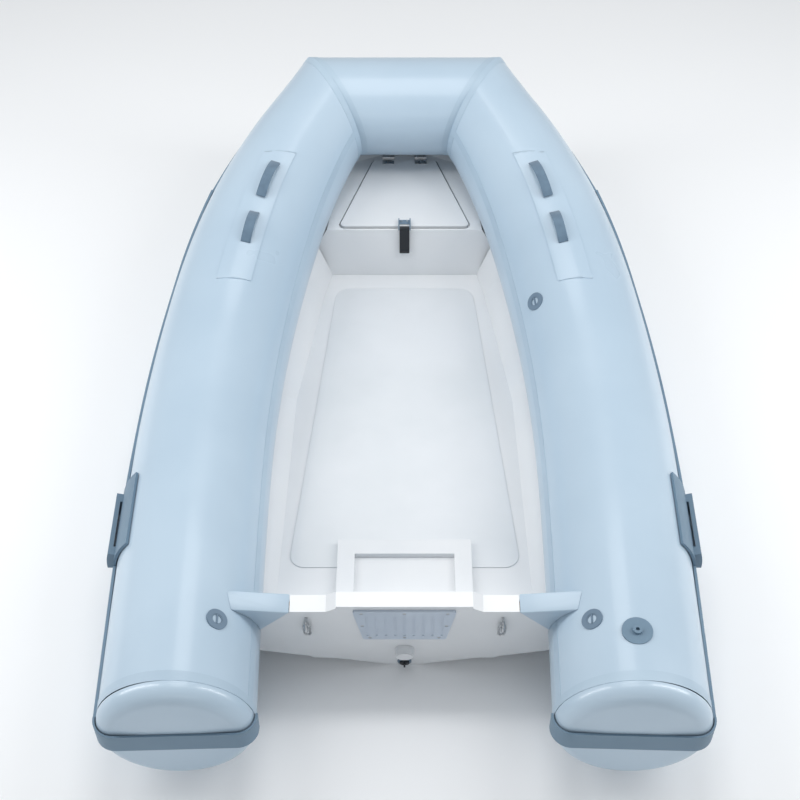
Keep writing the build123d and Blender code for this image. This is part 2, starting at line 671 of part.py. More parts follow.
def transom_rail():
    """Moulded capping along the top of the transom, set back behind the motor."""
    crest = slant(TRANSOM_TOP)
    ledge = crest - TRANSOM_DROP
    right = [(TRANSOM_TOP_HALF, ledge), (TRANSOM_RAISED_HALF + TRANSOM_RAMP, ledge),
             (TRANSOM_RAISED_HALF, crest)]
    upper = right + [(-x, z) for x, z in reversed(right)]
    lower = [(x, z - CAP_RAIL_HEIGHT) for x, z in reversed(upper)]
    face = make_face(Polyline(*upper, *lower, close=True))
    bar = extrude(TRANSOM_FRAME.offset(RAIL_PROUD) * face, -(TRANSOM_THICK + 2 * RAIL_PROUD))
    notch = block((-TRANSOM_RAISED_HALF, 0, 0), (TRANSOM_RAISED_HALF, crest + 1, RAIL_PROUD + 1))
    return bar - TRANSOM_FRAME * notch


def latch_spot(down):
    """Plane on the locker's aft face, Z pointing out of it, this far below the top."""
    rise = LOCKER_TOP_Z - FLOOR_Z
    slope = Vector(0, -LOCKER_FACE_LEAN, -rise).normalized()
    out = Vector(1, 0, 0).cross(slope) * -1
    if out.Y > 0:
        out = out * -1
    origin = Vector(0, station(LOCKER_EDGE), LOCKER_TOP_Z) + slope * down
    return Plane(origin=origin, x_dir=(1, 0, 0), z_dir=out)


def transom_gusset():
    """Fabric fairing that closes the gap from the transom's end to the starboard chamber."""
    ledge = slant(TRANSOM_TOP) - TRANSOM_DROP
    shoulder = slant(TRANSOM_SHOULDER_Z) + MOULD_GAP
    outline = [
        (TRANSOM_TOP_HALF + MOULD_GAP, ledge),
        (TRANSOM_TOP_HALF + GUSSET_OUT, ledge + GUSSET_RISE),
        (TRANSOM_TOP_HALF + GUSSET_OUT, shoulder),
        (TRANSOM_TOP_HALF + SHOULDER_OUT + MOULD_GAP, shoulder),
    ]
    face = make_face(Polyline(*outline, close=True))
    wedge = extrude(TRANSOM_FRAME.offset(GUSSET_PROUD) * face, -(TRANSOM_THICK + 2 * GUSSET_PROUD))
    return largest(wedge - TUBE_CUTTER)


def stringers():
    """Two bearers that carry the floor on the bottom of the hull."""
    bar = block((STRINGER_X, station(TRANSOM_FOOT + 40), 0),
                (STRINGER_X + STRINGER_WIDTH, station(LOCKER_FOOT - 90),
                 FLOOR_Z - LINER_SKIN - MOULD_GAP))
    return [largest(piece & HULL_ROOM) for piece in both_sides(bar)]


# ---- Locker lid and its hinges ------------------------------------------------
HINGE_Y = LID_FORE_Y + LID_GAP / 2
HINGE_Z = LID_TOP_Z + HINGE_BARREL_R + 0.4
HINGE_SPOTS = [side * HINGE_SPAN / 2 for side in (1, -1)]


def locker_lid():
    """Lid with a turned-down rim, hollow beneath."""
    lid = upright(lid_outline(), LID_BOTTOM_Z, LID_TOP_Z)
    lid = chamfer(lid.faces().sort_by(Axis.Z)[-1].edges(), 1.5)
    lid = lid - upright(lid_outline(-12.0), LID_BOTTOM_Z - 1, LID_TOP_Z - LINER_SKIN)
    return drilled(lid, [Pos(x, ANCHOR_SCREW_Y, LID_TOP_Z) for x in (-ANCHOR_SCREW_X, ANCHOR_SCREW_X)], SMALL_HOLE_R, 4.5)


def lid_seal():
    """Rubber seal on the ledge, under the lid's rim."""
    return upright(lid_outline(-1.0) - lid_outline(-10.0), LEDGE_Z + LEAF_GAP, LEDGE_Z + LEAF_GAP + SEAL_THICK)


def hinge_barrel(x, low, high, bore):
    """One knuckle of a hinge, between two places along its width."""
    frame = Plane(origin=(x, HINGE_Y, HINGE_Z), x_dir=(0, 1, 0), z_dir=(1, 0, 0))
    return frame * ring(HINGE_BARREL_R, bore, low, high)


def knuckle_hole(shape, x):
    """Clear the pin's path through a leaf."""
    frame = Plane(origin=(x, HINGE_Y, HINGE_Z), x_dir=(0, 1, 0), z_dir=(1, 0, 0))
    return shape - frame * rod(HINGE_PIN_R + PIN_GAP, -HINGE_WIDTH, HINGE_WIDTH)


def fixed_leaf(x):
    """Leaf on the locker's top, with the middle knuckle."""
    half = HINGE_WIDTH / 5
    barrel = hinge_barrel(x, -half, half, HINGE_PIN_R + PIN_GAP)
    riser_low = HINGE_Y + LID_GAP / 2 + 0.6
    riser = block((x - half, HINGE_Y, HINGE_Z - 2.0), (x + half, riser_low + 3, HINGE_Z + 2.0))
    post = block((x - half, riser_low, LOCKER_TOP_Z + LEAF_GAP), (x + half, riser_low + 3, HINGE_Z + 2.0))
    foot = block((x - HINGE_WIDTH / 2, riser_low, LOCKER_TOP_Z + LEAF_GAP),
                 (x + HINGE_WIDTH / 2, riser_low + 24, LOCKER_TOP_Z + LEAF_GAP + LEAF_THICK))
    return knuckle_hole(barrel + riser + post + foot, x)


def lid_leaf(x):
    """Leaf on the lid, with the two outer knuckles."""
    half, inner = HINGE_WIDTH / 2, HINGE_WIDTH / 5 + 0.4
    plate = block((x - half, LID_FORE_Y - 26, LID_TOP_Z + LEAF_GAP),
                  (x + half, HINGE_Y, LID_TOP_Z + LEAF_GAP + LEAF_THICK))
    plate = plate - block((x - inner, HINGE_Y - HINGE_BARREL_R - 0.6, LID_TOP_Z - 1),
                          (x + inner, HINGE_Y + 9, LID_TOP_Z + 9))
    plate = plate + hinge_barrel(x, inner, half, HINGE_PIN_R + PIN_GAP)
    plate = plate + hinge_barrel(x, -half, -inner, HINGE_PIN_R + PIN_GAP)
    return knuckle_hole(plate, x)


def hinge_pin(x):
    """Pin through the knuckles."""
    frame = Plane(origin=(x, HINGE_Y, HINGE_Z), x_dir=(0, 1, 0), z_dir=(1, 0, 0))
    return frame * rod(HINGE_PIN_R, -HINGE_WIDTH / 2 - 1, HINGE_WIDTH / 2 + 1)


# ---- Latch --------------------------------------------------------------------
LATCH_PIN_Y = station(LOCKER_EDGE) - 5.0
LATCH_PIN_Z = LID_TOP_Z + 5.0
ANCHOR_SCREW_Y = LID_AFT_Y + 18.0
FACE_FRAME = latch_spot(0)
LATCH_FRAME = Plane(
    origin=(0, LATCH_PIN_Y, LATCH_PIN_Z), x_dir=(1, 0, 0), z_dir=FACE_FRAME.z_dir)


def latch_strap():
    """Rubber strap that hangs from the lid over the locker's face, with a pull bar."""
    eye = Plane(origin=(0, LATCH_PIN_Y, LATCH_PIN_Z), x_dir=(0, 1, 0), z_dir=(1, 0, 0))
    barrel = eye * ring(6.0, LATCH_PIN_R + PIN_GAP, -LATCH_WIDTH / 2, LATCH_WIDTH / 2)
    strap = block((-LATCH_WIDTH / 2, -LATCH_LENGTH, LATCH_BACK),
                  (LATCH_WIDTH / 2, 0, LATCH_BACK + LATCH_THICK))
    pull = Pos(0, -LATCH_LENGTH + 5, LATCH_BACK + LATCH_THICK) * Rot(0, 90, 0) * Cylinder(
        4.0, LATCH_WIDTH)
    whole = LATCH_FRAME * (strap + pull) + barrel
    whole = whole - eye * rod(LATCH_PIN_R + PIN_GAP, -LATCH_WIDTH, LATCH_WIDTH)
    return largest(whole)


def latch_anchor():
    """Bracket on the lid whose two ears hold the strap's pin."""
    inner, outer = LATCH_WIDTH / 2 + 0.5, LATCH_WIDTH / 2 + 4.0
    low = LID_TOP_Z + LEAF_GAP
    base = block((-outer, LID_AFT_Y + 6, low), (outer, LID_AFT_Y + LATCH_REACH, low + 3.0))
    ears = []
    for side in (1, -1):
        left, right = sorted((side * inner, side * outer))
        ears.append(block((left, LATCH_PIN_Y - 6, low), (right, LID_AFT_Y + LATCH_REACH, low + 10)))
    frame = Plane(origin=(0, LATCH_PIN_Y, LATCH_PIN_Z), x_dir=(0, 1, 0), z_dir=(1, 0, 0))
    whole = base + ears[0] + ears[1] - frame * rod(LATCH_PIN_R, -outer - 1, outer + 1)
    return drilled(whole, [Pos(x, ANCHOR_SCREW_Y, low) for x in (-ANCHOR_SCREW_X, ANCHOR_SCREW_X)], 2.1, 1)


def latch_pin():
    """Pin through the anchor's ears and the strap."""
    frame = Plane(origin=(0, LATCH_PIN_Y, LATCH_PIN_Z), x_dir=(0, 1, 0), z_dir=(1, 0, 0))
    return frame * rod(LATCH_PIN_R, -LATCH_WIDTH / 2 - 4.0, LATCH_WIDTH / 2 + 4.0)


def latch_keeper():
    """Plate on the locker's face behind the end of the strap."""
    plate = block((-13, -10, 0.3), (13, 10, 0.3 + KEEPER_THICK - 1))
    return drilled(latch_spot(KEEPER_DOWN) * plate, [latch_spot(KEEPER_DOWN)], 1.9, 1)


def screw(radius, length, head_r, head):
    """Screw along Z with its head above zero."""
    return rod(radius, -length, 0.05) + rod(head_r, 0.05, head)


def latch_screws():
    """Two screws in the anchor."""
    return [Pos(x, ANCHOR_SCREW_Y, LID_TOP_Z + 3.2) * screw(SMALL_SCREW_R, 7.0, 3.5, 2.0)
            for x in (-ANCHOR_SCREW_X, ANCHOR_SCREW_X)]


def keeper_screw():
    """Screw that holds the keeper on the locker's face."""
    return latch_spot(KEEPER_DOWN) * Pos(0, 0, KEEPER_THICK - 0.7) * screw(SMALL_SCREW_R, 7.0, 3.2, 0.9)


# ---- Valves -------------------------------------------------------------------
def valve_body():
    """Flange and barrel of an air valve, with a seat across its bore."""
    flange = ring(VALVE_FLANGE_R, VALVE_BORE_R, -VALVE_SINK + LEAF_GAP, VALVE_FLANGE)
    barrel = ring(VALVE_BARREL_R, VALVE_BORE_R, -VALVE_DEPTH, -VALVE_SINK + 0.3)
    web = ring(VALVE_BORE_R + 1, VALVE_PORT_R, -VALVE_SEAT_DEPTH - VALVE_WEB, -VALVE_SEAT_DEPTH)
    return flange + barrel + web


def valve_cap():
    """Bayonet cap with a finger bar across a dished top."""
    plug = rod(VALVE_BORE_R - CAP_GAP, -9.0, 2.0) - rod(VALVE_BORE_R - 3.0, -1.5, 3.0)
    return plug + block((-VALVE_BORE_R + 2.5, -2.2, -1.6), (VALVE_BORE_R - 2.5, 2.2, 3.4))


def valve_poppet():
    """Spring-loaded poppet that seals under the seat and is pressed from above."""
    top = -VALVE_SEAT_DEPTH - VALVE_WEB - 0.3
    disc = rod(VALVE_PORT_R + 3.5, top - 3.0, top)
    return disc + rod(2.5, top - 0.1, -VALVE_SEAT_DEPTH + 8.0) + rod(5.0, -13.5, -11.0)


# ---- Stern socket -------------------------------------------------------------
def light_socket():
    """Rubber pad on the starboard chamber with a blind socket for a light pole."""
    pad = rod(SOCKET_PAD_R, -14.0, 1.6)
    boss = rod(SOCKET_BOSS_R, 0.0, SOCKET_BOSS_HEIGHT)
    whole = SOCKET_FRAME * (pad + boss) - TUBE_CUTTER
    bore = SOCKET_FRAME * rod(
        SOCKET_BORE_R, SOCKET_BOSS_HEIGHT - SOCKET_BORE_DEPTH, SOCKET_BOSS_HEIGHT + 1)
    return largest(whole - bore)


# ---- Grab straps and side handles ---------------------------------------------
LOOP_STATIONS = tuple((BOW_AXIS - fore, BOW_AXIS - aft) for fore, aft in LOOP_SETBACKS)
PATCH_STATIONS = tuple(BOW_AXIS - PATCH_SETBACK + PATCH_LENGTH * step / 10 for step in range(11))


def band_section(distance, lean, width, start, thick):
    """Cross-section of a sheet glued round the top of the starboard chamber."""
    centre, along = axis_at(station(distance))
    inner = tube_radius(centre.Y) + start
    spread = math.degrees(width / inner)
    first = 90 + lean - spread / 2
    low, high = CenterArc((0, 0), inner, first, spread), CenterArc((0, 0), inner + thick, first, spread)
    face = make_face([low, high, Line(low @ 0, high @ 0), Line(low @ 1, high @ 1)])
    return round_frame(centre, along) * face


def strap_patch():
    """Reinforcing patch that carries both grab loops."""
    sections = [band_section(d, STRAP_LEAN, PATCH_WIDTH, -PATCH_BED, PATCH_THICK + PATCH_BED)
                for d in PATCH_STATIONS]
    return largest(loft(sections, ruled=True) - TUBE_CUTTER)


def grab_loop(fore, aft):
    """Loop of webbing with a flat tail glued down at each end."""
    lift = PATCH_THICK + LOOP_GAP - WEBBING_BASE
    first = surface_frame(aft, STRAP_LEAN)
    last = surface_frame(fore, STRAP_LEAN)
    along = (last.origin - first.origin).normalized()
    side = along.cross(first.z_dir + last.z_dir).normalized()
    up = side.cross(along).normalized()
    frame = Plane(origin=first.origin + up * lift, x_dir=along, z_dir=side)
    span = (last.origin - first.origin).length
    outer = ThreePointArc((0, WEBBING_THICK), (span / 2, LOOP_RISE + WEBBING_THICK),
                          (span, WEBBING_THICK))
    inner = ThreePointArc((WEBBING_THICK * 2, WEBBING_BASE), (span / 2, LOOP_RISE),
                          (span - WEBBING_THICK * 2, WEBBING_BASE))
    outline = [outer, Line(outer @ 1, (span, WEBBING_BASE)),
               Line((span, WEBBING_BASE), inner @ 1), inner,
               Line(inner @ 0, (0, WEBBING_BASE)),
               Line((0, WEBBING_BASE), outer @ 0)]
    return extrude(frame * make_face(outline), WEBBING_WIDTH / 2, both=True)


def sector(radius_low, radius_high, first, last, length, shift=0.0):
    """Curved block about the tube's axis beside the handle, in degrees above the side."""
    centre, along = axis_at(station(HANDLE_STATION))
    frame = round_frame(centre + along * shift, along)
    low = CenterArc((0, 0), radius_low, first, last - first)
    high = CenterArc((0, 0), radius_high, first, last - first)
    face = make_face([low, high, Line(low @ 0, high @ 0), Line(low @ 1, high @ 1)])
    return extrude(frame * face, length / 2, both=True)


def side_handle():
    """Moulded rubber grip over the strake, open between the grip and its base."""
    base = sector(TUBE_R - 6, TUBE_R + HANDLE_BASE, *BASE_ARC, HANDLE_LENGTH)
    grip = sector(TUBE_R + HANDLE_STAND - GRIP_THICK, TUBE_R + HANDLE_STAND, *GRIP_ARC,
                  GRIP_SPAN + 2 * GRIP_END)
    whole = base + grip
    for side in (1, -1):
        shift = side * (GRIP_SPAN + GRIP_END) / 2
        whole = whole + sector(TUBE_R + 2, TUBE_R + HANDLE_STAND, *GRIP_ARC, GRIP_END, shift)
    centre, along = axis_at(station(HANDLE_STATION))
    band = strake_section(centre, along, TUBE_R, MOULD_GAP)
    return largest(whole - TUBE_CUTTER - extrude(band, HANDLE_LENGTH, both=True))


# ---- Transom fittings ---------------------------------------------------------
def pad_face():
    """Outline of the motor pad on the transom."""
    top, bottom = slant(PAD_TOP_Z), slant(PAD_BOTTOM_Z)
    face = make_face(Polyline(
        (-PAD_BOTTOM_HALF, bottom), (PAD_BOTTOM_HALF, bottom),
        (PAD_TOP_HALF, top), (-PAD_TOP_HALF, top), close=True))
    return fillet(face.vertices(), PAD_CORNER_R)


def outer_pad():
    """Ribbed plate that takes the outboard motor's bracket."""
    plate = extrude(TRANSOM_FRAME.offset(SEAT_GAP) * pad_face(), PAD_THICK)
    ribs = int(PAD_BOTTOM_HALF // RIB_PITCH)
    for index in range(-ribs, ribs + 1):
        if index % 2 == 0:
            groove = block(
                (index * RIB_PITCH - 3.0, slant(PAD_BOTTOM_Z) + 24, SEAT_GAP + PAD_THICK - RIB_DEPTH),
                (index * RIB_PITCH + 3.0, slant(PAD_TOP_Z) - 24, PAD_THICK + 2))
            plate = plate - TRANSOM_FRAME * groove
    sunk = [spot * Pos(0, 0, PAD_THICK + SEAT_GAP - HEAD_SINK) for spot in PAD_SPOTS]
    plate = drilled(plate, sunk, SCREW_HEAD_R + 0.3, 0)
    return drilled(plate, PAD_SPOTS, SCREW_R + 0.3, 1)


def inner_pad():
    """Plain plate inside the transom for the motor's clamp screws."""
    top, bottom = slant(PAD_TOP_Z), slant(PAD_BOTTOM_Z + INNER_PAD_RISE)
    face = make_face(Polyline(
        (-PAD_BOTTOM_HALF, bottom), (PAD_BOTTOM_HALF, bottom),
        (PAD_BOTTOM_HALF, top), (-PAD_BOTTOM_HALF, top), close=True))
    face = fillet(face.vertices(), PAD_CORNER_R)
    return extrude(TRANSOM_FRAME.offset(-TRANSOM_THICK - SEAT_GAP) * face, -PAD_THICK)


def pad_screws():
    """Eight screws through the outer pad."""
    return [spot * Pos(0, 0, PAD_THICK + SEAT_GAP - HEAD_SINK) * screw(
        SCREW_R, SCREW_LENGTH + PAD_THICK - HEAD_SINK, SCREW_HEAD_R, SCREW_HEAD) for spot in PAD_SPOTS]


def eye_bolt(reach, inside):
    """U-shaped rod whose two legs pass inwards along Z."""
    half = EYE_SPACING / 2
    straight = reach - half
    path = Wire([
        Line((0, half, -inside), (0, half, straight)),
        ThreePointArc((0, half, straight), (0, 0, reach), (0, -half, straight)),
        Line((0, -half, straight), (0, -half, -inside)),
    ])
    start = Plane(origin=(0, half, -inside), z_dir=(0, 0, 1))
    return sweep(start * Circle(EYE_ROD_R), path=path)


def backing_plate():
    """Plate behind a bolt's two legs."""
    plate = block((-PLATE_HALF, -EYE_SPACING / 2 - PLATE_HALF, 0),
                  (PLATE_HALF, EYE_SPACING / 2 + PLATE_HALF, PLATE_THICK))
    for up in (1, -1):
        plate = plate - Pos(0, up * EYE_SPACING / 2, 0) * rod(EYE_ROD_R + 0.3, -1, 10)
    return plate


def eye_nut(up):
    """Hexagon nut on one leg, against the plate."""
    nut = extrude(RegularPolygon(NUT_R, 6), NUT_HEIGHT)
    nut = nut - rod(EYE_ROD_R + 0.05, -1, NUT_HEIGHT + 1)
    return Pos(0, up * EYE_SPACING / 2, 0) * nut


EYE_INSIDE = TRANSOM_THICK + PLATE_THICK + NUT_HEIGHT + 4.0


def eye_hardware(spot, inside):
    """Plate and nuts behind an eye at this spot, and their depth."""
    behind = spot * Pos(0, 0, -inside)
    plate = behind * Pos(0, 0, -PLATE_THICK) * backing_plate()
    nuts = [behind * Pos(0, 0, -PLATE_THICK - LEAF_GAP - NUT_HEIGHT) * eye_nut(up) for up in (1, -1)]
    return plate, nuts


def hanging_link():
    """Long link through a towing eye, resting on its lower leg."""
    reach = EYE_ROD_R + LINK_GAP + LINK_ROD_R
    hoop = Torus(reach, LINK_ROD_R)
    upper = split(hoop, bisect_by=Plane.XZ, keep=Keep.BOTTOM)
    lower = Pos(0, -LINK_LENGTH, 0) * split(hoop, bisect_by=Plane.XZ, keep=Keep.TOP)
    sides = [Pos(side * reach, -LINK_LENGTH / 2, 0) * Rot(90, 0, 0) * Cylinder(
        LINK_ROD_R, LINK_LENGTH) for side in (1, -1)]
    return Pos(0, -EYE_SPACING / 2, LINK_STAND) * (upper + lower + sides[0] + sides[1])


def scupper_body():
    """Drain sleeve through the transom with a collar outside."""
    collar = ring(SCUPPER_R, SCUPPER_BORE_R, SEAT_GAP, SCUPPER_REACH)
    sleeve = ring(SCUPPER_SLEEVE_R, SCUPPER_BORE_R, -SCUPPER_INSIDE, 0.4)
    return SCUPPER_SPOT * (collar + sleeve)


def scupper_flap():
    """Flap over the scupper's mouth, hung from its top edge."""
    disc = rod(SCUPPER_R - 2.0, SCUPPER_REACH + 0.4, SCUPPER_REACH + 2.6)
    lug = Pos(0, SCUPPER_R, SCUPPER_REACH + FLAP_AXIS) * Rot(0, 90, 0) * Cylinder(2.4, 16)
    tongue = block((-8, SCUPPER_R - 8, SCUPPER_REACH + 0.4), (8, SCUPPER_R, SCUPPER_REACH + 2.6))
    return SCUPPER_SPOT * (disc + tongue + lug)


def drain_fitting():
    """Flanged bush of the drain, through the hull's skin and the board."""
    flange = ring(DRAIN_FLANGE_R, DRAIN_BORE_R, SEAT_GAP, DRAIN_FLANGE)
    return DRAIN_SPOT * (flange + ring(DRAIN_SLEEVE_R, DRAIN_BORE_R, -DRAIN_INSIDE, 0.4))


def drain_plug():
    """Plug with a finger grip, pushed into the drain."""
    stem = rod(DRAIN_BORE_R - 0.05, -DRAIN_INSIDE + 6, DRAIN_FLANGE + 0.3)
    head = rod(DRAIN_BORE_R + 4, DRAIN_FLANGE + 0.3, DRAIN_FLANGE + 5)
    grip = block((-2.5, -11, DRAIN_FLANGE + 4), (2.5, 11, DRAIN_FLANGE + 12))
    return DRAIN_SPOT * (stem + head + grip)


# ---- Every node ---------------------------------------------------------------
STARBOARD_STRAKE = side_strake()
HULL_EYE_BEHIND = HULL_SKIN + LEAF_GAP


def build_nodes():
    """Every separate piece by name; a list is a group of like solids."""
    handle = side_handle()
    patch, cap, gusset, round_end = strap_patch(), stern_cap(), transom_gusset(), stern_strake()
    loops = [grab_loop(fore, aft) for fore, aft in LOOP_STATIONS]
    plates, nuts = [], []
    for spot in EYE_SPOTS:
        plate, pair = eye_hardware(spot, TRANSOM_THICK + LEAF_GAP)
        plates.append(plate)
        nuts.extend(pair)
    stem_turn = STEM_SPOT * Rot(0, 0, 90)
    stem_plate, stem_nuts = eye_hardware(stem_turn, HULL_EYE_BEHIND)
    nodes = {
        "hull_shell": hull(),
        "deck_liner": liner(),
        "hull_stringers": stringers(),
        "transom_board": transom_board(),
        "transom_rail": transom_rail(),
        "transom_gussets": both_sides(gusset),
        "tube_starboard": tube_starboard,
        "tube_port": tube_port,
        "tube_bow": tube_bow,
        "tube_baffles": both_sides(baffle),
        "stern_cap_starboard": cap,
        "stern_cap_port": mirrored(cap),
        "rub_strake_starboard": STARBOARD_STRAKE,
        "rub_strake_port": mirrored(STARBOARD_STRAKE),
        "rub_strake_bow": bow_strake(),
        "rub_strake_stern_ends": both_sides(round_end),
        "side_handle_starboard": handle,
        "side_handle_port": mirrored(handle),
        "grab_patches": both_sides(patch),
        "grab_loops_starboard": loops,
        "grab_loops_port": [mirrored(loop) for loop in loops],
        "light_socket": light_socket(),
        "locker_lid": locker_lid(),
        "locker_seal": lid_seal(),
        "lid_hinge_fixed_leaves": [fixed_leaf(x) for x in HINGE_SPOTS],
        "lid_hinge_moving_leaves": [lid_leaf(x) for x in HINGE_SPOTS],
        "lid_hinge_pins": [hinge_pin(x) for x in HINGE_SPOTS],
        "latch_strap": latch_strap(),
        "latch_anchor": latch_anchor(),
        "latch_pin": latch_pin(),
        "latch_anchor_screws": latch_screws(),
        "latch_keeper": latch_keeper(),
        "latch_keeper_screw": keeper_screw(),
        "motor_pad_outer": outer_pad(),
        "motor_pad_inner": inner_pad(),
        "motor_pad_screws": pad_screws(),
        "tow_eyes": [spot * eye_bolt(EYE_REACH, EYE_INSIDE) for spot in EYE_SPOTS],
        "tow_eye_plates": plates,
        "tow_eye_nuts": nuts,
        "tow_link_starboard": EYE_SPOTS[0] * hanging_link(),
        "tow_link_port": EYE_SPOTS[1] * hanging_link(),
        "stem_eye": stem_turn * eye_bolt(EYE_REACH - 4, HULL_SKIN + 14),
        "stem_eye_plate": stem_plate,
        "stem_eye_nuts": stem_nuts,
        "scupper_body": scupper_body(),
        "scupper_flap": scupper_flap(),
        "drain_fitting": drain_fitting(),
        "drain_plug": drain_plug(),
    }
    for place, frame in VALVES.items():
        flip = mirrored if place == "port" else (lambda shape: shape)
        nodes[f"valve_body_{place}"] = flip(frame * valve_body())
        nodes[f"valve_cap_{place}"] = flip(frame * valve_cap())
        nodes[f"valve_poppet_{place}"] = flip(frame * valve_poppet())
    return nodes


def lone_solids(shapes):
    """The separate solids of a node."""
    group = shapes if isinstance(shapes, list) else [shapes]
    return [largest(shape) for shape in group]


os.makedirs("parts", exist_ok=True)
for node, shapes in build_nodes().items():
    solids = lone_solids(shapes)
    export_step(Compound(children=solids) if len(solids) > 1 else solids[0], f"parts/{node}.step")
    print(f"{node:26s} {len(solids)} solids, {sum(s.volume for s in solids) / 1000:10.1f} cm3")

for label, point in (
    ("lid hinge", Vector(0, HINGE_Y, HINGE_Z)),
    ("latch pin", Vector(0, LATCH_PIN_Y, LATCH_PIN_Z)),
    ("tow link axis", (EYE_SPOTS[0] * Pos(0, -EYE_SPACING / 2, 0)).position),
    ("flap axis", (SCUPPER_SPOT * Pos(0, SCUPPER_R, SCUPPER_REACH + FLAP_AXIS)).position),
    ("drain", DRAIN_SPOT.position),
    ("socket", SOCKET_FRAME.origin),
):
    print(f"{label}: {point.X:.3f} {point.Y:.3f} {point.Z:.3f}")
for place, frame in VALVES.items():
    print(f"valve {place}: {frame.origin} axis {frame.z_dir}")
print(f"overall length {LENGTH_OVERALL}")
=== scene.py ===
"""Looks of a small rigid-hull inflatable tender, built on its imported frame."""
import json
import logging
import math
from dataclasses import dataclass, field
from enum import Enum
from typing import Callable

import bpy
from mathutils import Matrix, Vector


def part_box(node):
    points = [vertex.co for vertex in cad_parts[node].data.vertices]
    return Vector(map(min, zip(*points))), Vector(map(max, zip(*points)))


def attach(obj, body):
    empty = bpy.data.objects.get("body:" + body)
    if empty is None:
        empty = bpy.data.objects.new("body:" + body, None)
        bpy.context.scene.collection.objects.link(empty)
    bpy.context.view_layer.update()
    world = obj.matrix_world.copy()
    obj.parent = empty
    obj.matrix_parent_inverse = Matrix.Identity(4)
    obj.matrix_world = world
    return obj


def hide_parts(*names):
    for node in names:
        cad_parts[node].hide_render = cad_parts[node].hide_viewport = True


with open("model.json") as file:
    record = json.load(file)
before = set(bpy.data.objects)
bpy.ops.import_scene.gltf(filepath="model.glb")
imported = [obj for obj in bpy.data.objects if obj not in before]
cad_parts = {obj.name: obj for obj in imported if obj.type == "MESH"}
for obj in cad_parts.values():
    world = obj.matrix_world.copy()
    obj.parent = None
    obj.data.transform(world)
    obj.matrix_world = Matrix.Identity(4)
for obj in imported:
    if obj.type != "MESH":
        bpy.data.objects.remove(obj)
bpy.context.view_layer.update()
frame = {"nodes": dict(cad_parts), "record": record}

LOG = logging.getLogger("tender")
HULL = "hull"


class Side(Enum):
    """The two sides of the boat, as the sign of X."""

    STARBOARD = 1
    PORT = -1


# ---- Modelling helpers --------------------------------------------------------
def activate(piece: bpy.types.Object) -> None:
    """Leave edit mode, clear the selection and pick one piece.

    Args:
        piece: The object that the next operators act on.
    """
    if bpy.context.object and bpy.context.object.mode != "OBJECT":
        bpy.ops.object.mode_set(mode="OBJECT")
    bpy.ops.object.select_all(action="DESELECT")
    piece.select_set(True)
    bpy.context.view_layer.objects.active = piece


def started(name: str) -> bpy.types.Object:
    """Name the primitive just added and make its place part of its mesh.

    Args:
        name: Name of the piece.

    Returns:
        The new object, at the origin, unturned and unscaled.
    """
    piece = bpy.context.object
    piece.name = name
    activate(piece)
    bpy.ops.object.transform_apply(location=True, rotation=True, scale=True)
    return piece


def copied(source: bpy.types.Object, name: str) -> bpy.types.Object:
    """Copy a piece with its own mesh, free of the body that it rides on.

    Args:
        source: Object to copy.
        name: Name of the copy.

    Returns:
        The copy, at the origin.
    """
    piece = source.copy()
    piece.data = source.data.copy()
    piece.name = name
    piece.parent = None
    piece.animation_data_clear()
    for key in list(piece.keys()):
        del piece[key]
    bpy.context.scene.collection.objects.link(piece)
    piece.matrix_world = source.matrix_world.copy()
    piece.hide_render = False
    piece.hide_set(False)
    activate(piece)
    bpy.ops.object.transform_apply(location=True, rotation=True, scale=True)
    return piece


def pick_faces(piece: bpy.types.Object, test: Callable[[Vector, Vector], bool]) -> None:
    """Select faces by their place, and leave the piece in edit mode.

    Args:
        piece: Mesh object.
        test: Takes a face's centre and normal.
    """
    activate(piece)
    bpy.ops.object.mode_set(mode="EDIT")
    bpy.ops.mesh.select_mode(type="FACE")
    bpy.ops.mesh.select_all(action="DESELECT")
    bpy.ops.object.mode_set(mode="OBJECT")
    for face in piece.data.polygons:
        face.select = test(face.center, face.normal)
    bpy.ops.object.mode_set(mode="EDIT")


def bisected(piece: bpy.types.Object, point: Vector, normal: Vector, fill: bool) -> None:
    """Cut away what lies on the normal's side of a plane.

    Args:
        piece: Mesh object.
        point: A point on the plane.
        normal: Points at the part that goes.
        fill: Close the cut with a face.
    """
    activate(piece)
    bpy.ops.object.mode_set(mode="EDIT")
    bpy.ops.mesh.select_all(action="SELECT")
    bpy.ops.mesh.bisect(plane_co=point, plane_no=normal, use_fill=fill, clear_outer=True)
    bpy.ops.object.mode_set(mode="OBJECT")


def applied(piece: bpy.types.Object, kind: str, **settings: object) -> None:
    """Add a modifier with these settings and apply it.

    Args:
        piece: Mesh object.
        kind: Blender's name of the modifier.
        settings: Its settings by name.
    """
    activate(piece)
    modifier = piece.modifiers.new(kind.title(), kind)
    for key, value in settings.items():
        setattr(modifier, key, value)
    bpy.ops.object.modifier_apply(modifier=modifier.name)


def outward(piece: bpy.types.Object) -> None:
    """Turn all faces of a closed piece outward."""
    activate(piece)
    bpy.ops.object.mode_set(mode="EDIT")
    bpy.ops.mesh.select_all(action="SELECT")
    bpy.ops.mesh.normals_make_consistent(inside=False)
    bpy.ops.object.mode_set(mode="OBJECT")


def smoothed(piece: bpy.types.Object, degrees: float = 35.0) -> None:
    """Shade smooth, with a hard edge where faces turn by more than this."""
    activate(piece)
    bpy.ops.object.shade_smooth_by_angle(angle=math.radians(degrees))


